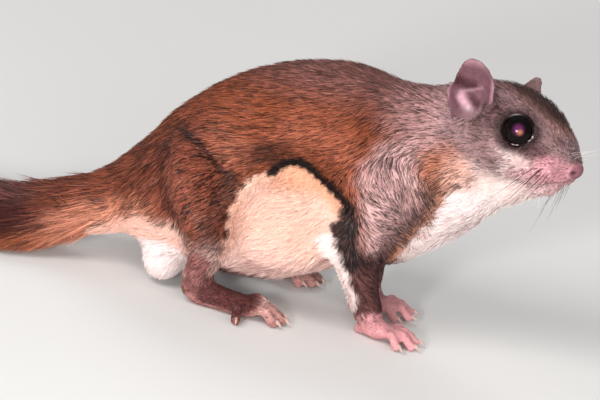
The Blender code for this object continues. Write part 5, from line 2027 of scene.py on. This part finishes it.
@dataclass
class Eye:
    """One eye: the ball with its clear bulge, and the rim of its lids."""

    side: Side
    radius: float = 4.5
    # The direction of the painted eyeshine's middle from the ball's centre, in the head's frame.
    glow_look: tuple = (0.379, 0.905, 0.190)
    rim_radius: float = 4.08
    rim_roll: float = 0.30
    rim_lift: float = 2.12

    def axis(self, look: tuple) -> np.ndarray:
        """A direction of the head's frame, for this side, in the drawing."""
        return unit(POSTURE.turned((look[0], look[1] * self.side.value, look[2])))

    def build(self) -> None:
        """Makes the ball and the rim."""
        ball = new_ball("eyeball_" + self.side.label, 64, 40)
        points = unit(read_points(ball))
        look = self.axis(POSTURE.eye_look)
        bulge = 0.28 * smooth(0.72, 1.0, points @ look)
        write_points(ball, POSTURE.eye_middle(self.side) + points * (self.radius + bulge)[:, None])
        alone(ball)
        bpy.ops.object.shade_smooth()
        # Places of the painted eyeshine's violet and orange parts and of its painted glint.
        violet = POSTURE.eye_middle(self.side) + self.axis(self.glow_look) * (self.radius + 0.2)
        down = POSTURE.turned((1.15, 0.0, -0.65))
        glint = POSTURE.turned((-0.12, 0.0, -0.5))
        finish = EyeFinish("squirrel_eye_" + self.side.label)
        material = finish.material(to_part(violet), to_part(violet + down), to_part(violet + glint))
        ball.data.materials.append(material)
        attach(ball, "root")
        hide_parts("eye_" + self.side.label)
        self.build_rim()
        LOG.info("%s and its lids", ball.name)

    def build_rim(self) -> None:
        """Makes the rolled rim of both lids, dark, with a faint pale arc above and painted glints of
        moisture.
        """
        bpy.ops.object.select_all(action="DESELECT")
        bpy.ops.mesh.primitive_torus_add(
            major_segments=72, minor_segments=12, major_radius=1.0, minor_radius=0.1,
        )
        rim = bpy.context.object
        rim.name = "eyelids_" + self.side.label
        ring = read_points(rim)
        look = self.axis(POSTURE.eye_look)
        ahead = POSTURE.turned((1.0, 0.0, 0.0))
        ahead = unit(ahead - look * (ahead @ look))
        above = np.cross(look, ahead) * self.side.value
        above = above * np.sign(above @ POSTURE.turned((0.0, 0.0, 1.0)))
        turn = np.arctan2(ring[:, 1], ring[:, 0])
        outward = np.hypot(ring[:, 0], ring[:, 1]) - 1.0
        corner = 1.0 + 0.10 * bell(turn, 0.35) + 0.05 * bell(np.abs(turn) - math.pi, 0.3)
        reach = self.rim_radius * corner + outward * 10.0 * self.rim_roll
        lift = self.rim_lift + ring[:, 2] * 10.0 * self.rim_roll + 0.25 * np.sin(turn)
        seat = POSTURE.eye_middle(self.side) + look * lift[:, None]
        points = seat + ahead * (np.cos(turn) * reach)[:, None]
        write_points(rim, points + above * (np.sin(turn) * reach * 0.97)[:, None])
        face_outwards(rim)
        bpy.ops.object.shade_smooth()
        pale = 0.3 * bell(turn - math.radians(128), 0.32) * smooth(0.03, 0.09, ring[:, 2])
        # Painted glints: small pale spots for moist reflections on the lid.
        for degrees in (-76, -62, -12, 4):
            glint = bell(turn - math.radians(degrees), 0.07) * smooth(0.02, 0.08, ring[:, 2])
            pale = np.maximum(pale, 0.8 * glint)
        store_colour(rim, "markings", mix(Tone.LID.rgb, Tone.LID_GLINT.rgb, pale[:, None]))
        rim.data.materials.append(LidFinish().material())
        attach(rim, "root")


@dataclass(frozen=True)
class ClawFinish:
    """Pale horn, wandering between a darker and a paler tone."""

    name: str = "squirrel_claw"
    tone: tuple = (0.62, 0.47, 0.42)

    def material(self) -> bpy.types.Material:
        """Lays out the finish."""
        made, bench, shader = new_material(self.name)
        root = (self.tone[0] * 0.55, self.tone[1] * 0.42, self.tone[2] * 0.40)
        bench.feed(shader, Base_Color=speckled(bench, 1100.0, 3.0, root, self.tone), Roughness=0.28)
        return made


@dataclass
class Claws:
    """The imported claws, which keep their shape and take a horn finish."""

    def dress(self) -> None:
        """Gives each claw its finish."""
        material = ClawFinish().material()
        for name in claw_nodes():
            mesh = frame["nodes"][name].data
            mesh.materials.clear()
            mesh.materials.append(material)
        LOG.info("%d claws", len(claw_nodes()))


@dataclass(frozen=True)
class WhiskerRow:
    """A row of whiskers on one side of the muzzle, in the head's own millimetres."""

    start: tuple
    end: tuple
    count: int
    length: float
    direction: tuple
    droop: tuple
    thick: float
    tone: tuple


DARK_WHISKER = (0.035, 0.016, 0.016)
PALE_WHISKER = (0.78, 0.72, 0.70)
WHISKER_ROWS = (
    WhiskerRow(
        (10.6, 7.0, -5.4), (8.4, 8.0, -6.4), 3, 19.0, (-0.26, 0.42, -0.86), (-0.10, -0.12, -0.10),
        0.11, DARK_WHISKER,
    ),
    WhiskerRow(
        (12.2, 6.4, -6.4), (9.0, 7.8, -7.4), 4, 14.0, (-0.16, 0.42, -0.89), (-0.08, -0.10, -0.06),
        0.10, DARK_WHISKER,
    ),
    WhiskerRow(
        (12.6, 5.8, -7.8), (9.4, 7.4, -8.6), 4, 9.5, (-0.04, 0.40, -0.91), (-0.06, -0.10, -0.04),
        0.08, DARK_WHISKER,
    ),
    WhiskerRow(
        (10.8, 3.2, -12.4), (6.4, 4.2, -14.0), 7, 6.0, (0.12, 0.25, -0.95), (0.05, 0.05, -0.05),
        0.045, PALE_WHISKER,
    ),
    WhiskerRow(
        (14.8, 2.4, -0.8), (13.2, 3.0, -0.2), 3, 7.0, (0.76, 0.05, 0.64), (-0.04, 0.05, -0.10),
        0.045, PALE_WHISKER,
    ),
)


@dataclass
class Whiskers:
    """The whiskers of both sides, as fine tapered tubes."""

    skin: Skin
    steps: int = 11
    sides: int = 3
    root_depth: float = 0.3
    seed: int = 5

    def build(self) -> None:
        """Makes one piece for each side."""
        rng = np.random.default_rng(self.seed)
        for side in Side:
            corners, faces, colours = [], [], []
            for row in WHISKER_ROWS:
                for k in range(row.count):
                    share = (k + 0.3 * rng.random()) / max(row.count - 1, 1)
                    self.add(side, row, share, rng, corners, faces, colours)
            mesh = bpy.data.meshes.new("whiskers_" + side.label)
            mesh.from_pydata(to_part(np.array(corners)).tolist(), [], faces)
            mesh.shade_smooth()
            piece = linked(mesh.name, mesh)
            store_colour(piece, "markings", np.array(colours))
            mesh.materials.append(HairFinish("whisker_hair", 0.34, 0.5, 0.0).material())
            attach(piece, "root")
            LOG.info("%s: %d faces", piece.name, len(faces))

    def add(self, side: Side, row: WhiskerRow, share: float, rng: np.random.Generator, corners: list,
            faces: list, colours: list) -> None:
        """Adds one whisker.

        Args:
            side: The side it grows on.
            row: The row it stands in.
            share: Its place along the row.
            rng: The seeded source of chance.
            corners: The piece's vertices so far.
            faces: The piece's faces so far.
            colours: The piece's colours so far.
        """
        flip = np.array((1.0, float(side.value), 1.0))
        start = np.array(row.start) + (np.array(row.end) - np.array(row.start)) * share
        root, normal = self.skin.surface.nearest(POSTURE.from_head(start * flip)[None])
        heading = unit(np.array(row.direction) + rng.normal(0.0, 0.07, 3))
        heading = POSTURE.turned(heading * flip)
        droop = POSTURE.turned((np.array(row.droop) + rng.normal(0.0, 0.05, 3)) * flip)
        length = row.length * (0.72 + 0.38 * share) * rng.uniform(0.9, 1.08)
        t = np.linspace(0.0, 1.0, self.steps)[:, None]
        line = root - normal * self.root_depth + heading * (length * t) + droop * (length * 0.75 * t * t)
        ahead = unit(np.gradient(line, axis=0))
        across = unit(np.cross(ahead, (0.3, 0.2, 0.93)))
        rise = np.cross(ahead, across)
        first = len(corners)
        for i in range(self.steps):
            thick = row.thick * (1.0 - 0.85 * i / (self.steps - 1))
            for k in range(self.sides):
                angle = math.tau * k / self.sides
                spoke = across[i] * math.cos(angle) * thick
                corners.append(line[i] + spoke + rise[i] * math.sin(angle) * thick)
                colours.append(np.array(row.tone) * (1.0 + 0.5 * i / self.steps))
        for i in range(self.steps - 1):
            for k in range(self.sides):
                a, b = (first + i * self.sides + (k + more) % self.sides for more in range(2))
                faces.append((a, b, b + self.sides, a + self.sides))
        last = first + (self.steps - 1) * self.sides
        faces.append((last, last + 1, last + 2))
        faces.append((first + 2, first + 1, first))


@dataclass(frozen=True)
class FloorFinish:
    """Pale matt paper."""

    name: str = "studio_floor"

    def material(self) -> bpy.types.Material:
        """Lays out the finish."""
        made, bench, shader = new_material(self.name)
        paper = speckled(bench, 9.0, 5.0, (0.70, 0.69, 0.675), (0.74, 0.73, 0.715))
        bench.feed(shader, Base_Color=paper, Roughness=0.9)
        return made


@dataclass
class Lamp:
    """One soft studio light."""

    name: str
    place: tuple
    size: float
    power: float
    tint: tuple = (1.0, 1.0, 1.0)
    glossy: bool = True

    def build(self, aim: Vector) -> None:
        """Hangs the light and turns it to its aim.

        Args:
            aim: The place that it lights.
        """
        data = bpy.data.lights.new(self.name, "AREA")
        data.shape = "DISK"
        data.size = self.size
        data.energy = self.power
        data.color = self.tint
        lamp = linked(self.name, data)
        lamp.location = self.place
        lamp.rotation_euler = (aim - Vector(self.place)).to_track_quat("-Z", "Y").to_euler()
        lamp.visible_glossy = self.glossy


@dataclass
class Studio:
    """The floor, the lights and the camera at the photograph's angle."""

    azimuth: float = math.radians(6)
    elevation: float = math.radians(18)
    roll: float = math.radians(12.5)
    pixels_per_mm: float = 3.8
    pivot: tuple = (0.0, 0.0, -3.4)
    pivot_pixel: tuple = (300.0, 318.7)
    distance: float = 4.6
    film_width: float = 36.0
    floor_radius: float = 4.0
    aim: tuple = (0.0, 0.0, 0.035)
    warm: tuple = (1.0, 0.985, 0.97)

    def axes(self) -> tuple:
        """The picture's right and up directions, and the direction towards the camera."""
        a, e, t = self.azimuth, self.elevation, self.roll
        right = np.array((math.cos(a), math.sin(a), 0.0))
        above = np.array((-math.sin(a) * math.sin(e), math.cos(a) * math.sin(e), math.cos(e)))
        toward = np.array((math.sin(a) * math.cos(e), -math.cos(a) * math.cos(e), math.sin(e)))
        across = right * math.cos(t) + above * math.sin(t)
        return across, above * math.cos(t) - right * math.sin(t), toward

    def camera(self) -> None:
        """Sets up the camera with the photograph's framing."""
        across, above, toward = self.axes()
        off_x = (IMAGE_WIDTH / 2 - self.pivot_pixel[0]) / self.pixels_per_mm
        off_y = (self.pivot_pixel[1] - IMAGE_HEIGHT / 2) / self.pixels_per_mm
        centre = to_part(np.array(self.pivot) + across * off_x + above * off_y)
        data = bpy.data.cameras.new("camera")
        data.sensor_width = self.film_width
        width = IMAGE_WIDTH / self.pixels_per_mm * MM
        data.lens = self.film_width * self.distance / width
        data.clip_start = 1.0
        data.clip_end = 40.0
        camera = linked("camera", data)
        turn = Matrix((across, above, toward)).transposed().to_4x4()
        camera.matrix_world = Matrix.Translation(Vector(centre + toward * self.distance)) @ turn
        bpy.context.scene.camera = camera

    def floor(self) -> None:
        """Lays the pale floor, a broad disc with an inset ring round its edge."""
        bpy.ops.object.select_all(action="DESELECT")
        bpy.ops.mesh.primitive_circle_add(vertices=96, radius=self.floor_radius, fill_type="NGON")
        disc = bpy.context.object
        disc.name = "studio_floor"
        with editing():
            bpy.ops.mesh.inset(thickness=0.2, depth=0.0)
        disc.data.materials.append(FloorFinish().material())

    def lights(self) -> None:
        """Hangs the soft lights and sets the room's faint fill."""
        across, above, toward = self.axes()
        aim = Vector(self.aim)
        flash = Vector(toward - 0.21 * across - 0.05 * above) + aim
        front = Vector(toward + 0.22 * across - 0.12 * above) + aim
        key = Vector(toward - 0.45 * across + 0.75 * above) + aim
        for lamp in (
            Lamp("flash", tuple(flash), 0.09, 6.5, self.warm),
            Lamp("key", tuple(key), 0.8, 11.0, (1.0, 0.985, 0.965), False),
            Lamp("front", tuple(front), 0.5, 4.5, self.warm, False),
            Lamp("fill", (1.1, -0.75, 0.55), 1.2, 4.0, (0.97, 0.98, 1.0), False),
            Lamp("rim", (-0.2, 1.2, 1.1), 1.0, 8.0, glossy=False),
        ):
            lamp.build(aim)
        world = bpy.data.worlds.new("room")
        world.use_nodes = True
        room = world.node_tree.nodes["Background"]
        Bench(world.node_tree).feed(room, Color=(0.80, 0.81, 0.83, 1.0), Strength=0.36)
        bpy.context.scene.world = world
        bpy.context.scene.view_settings.view_transform = "Standard"

    def build(self) -> None:
        """Sets the stage."""
        self.camera()
        self.floor()
        self.lights()


def main() -> None:
    """Builds the squirrel's looks in order."""
    logging.basicConfig(level=logging.INFO, format="%(name)s: %(message)s")
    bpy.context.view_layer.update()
    Studio().build()
    skin = Skin()
    skin.build()
    LOG.info("skin: %d triangles", len(skin.surface.triangles))
    skin.dress()
    for side in Side:
        Eye(side).build()
    Claws().dress()
    Coat(skin).build()
    TailPlume(skin).build()
    Whiskers(skin).build()


if __name__ == "__main__":
    main()
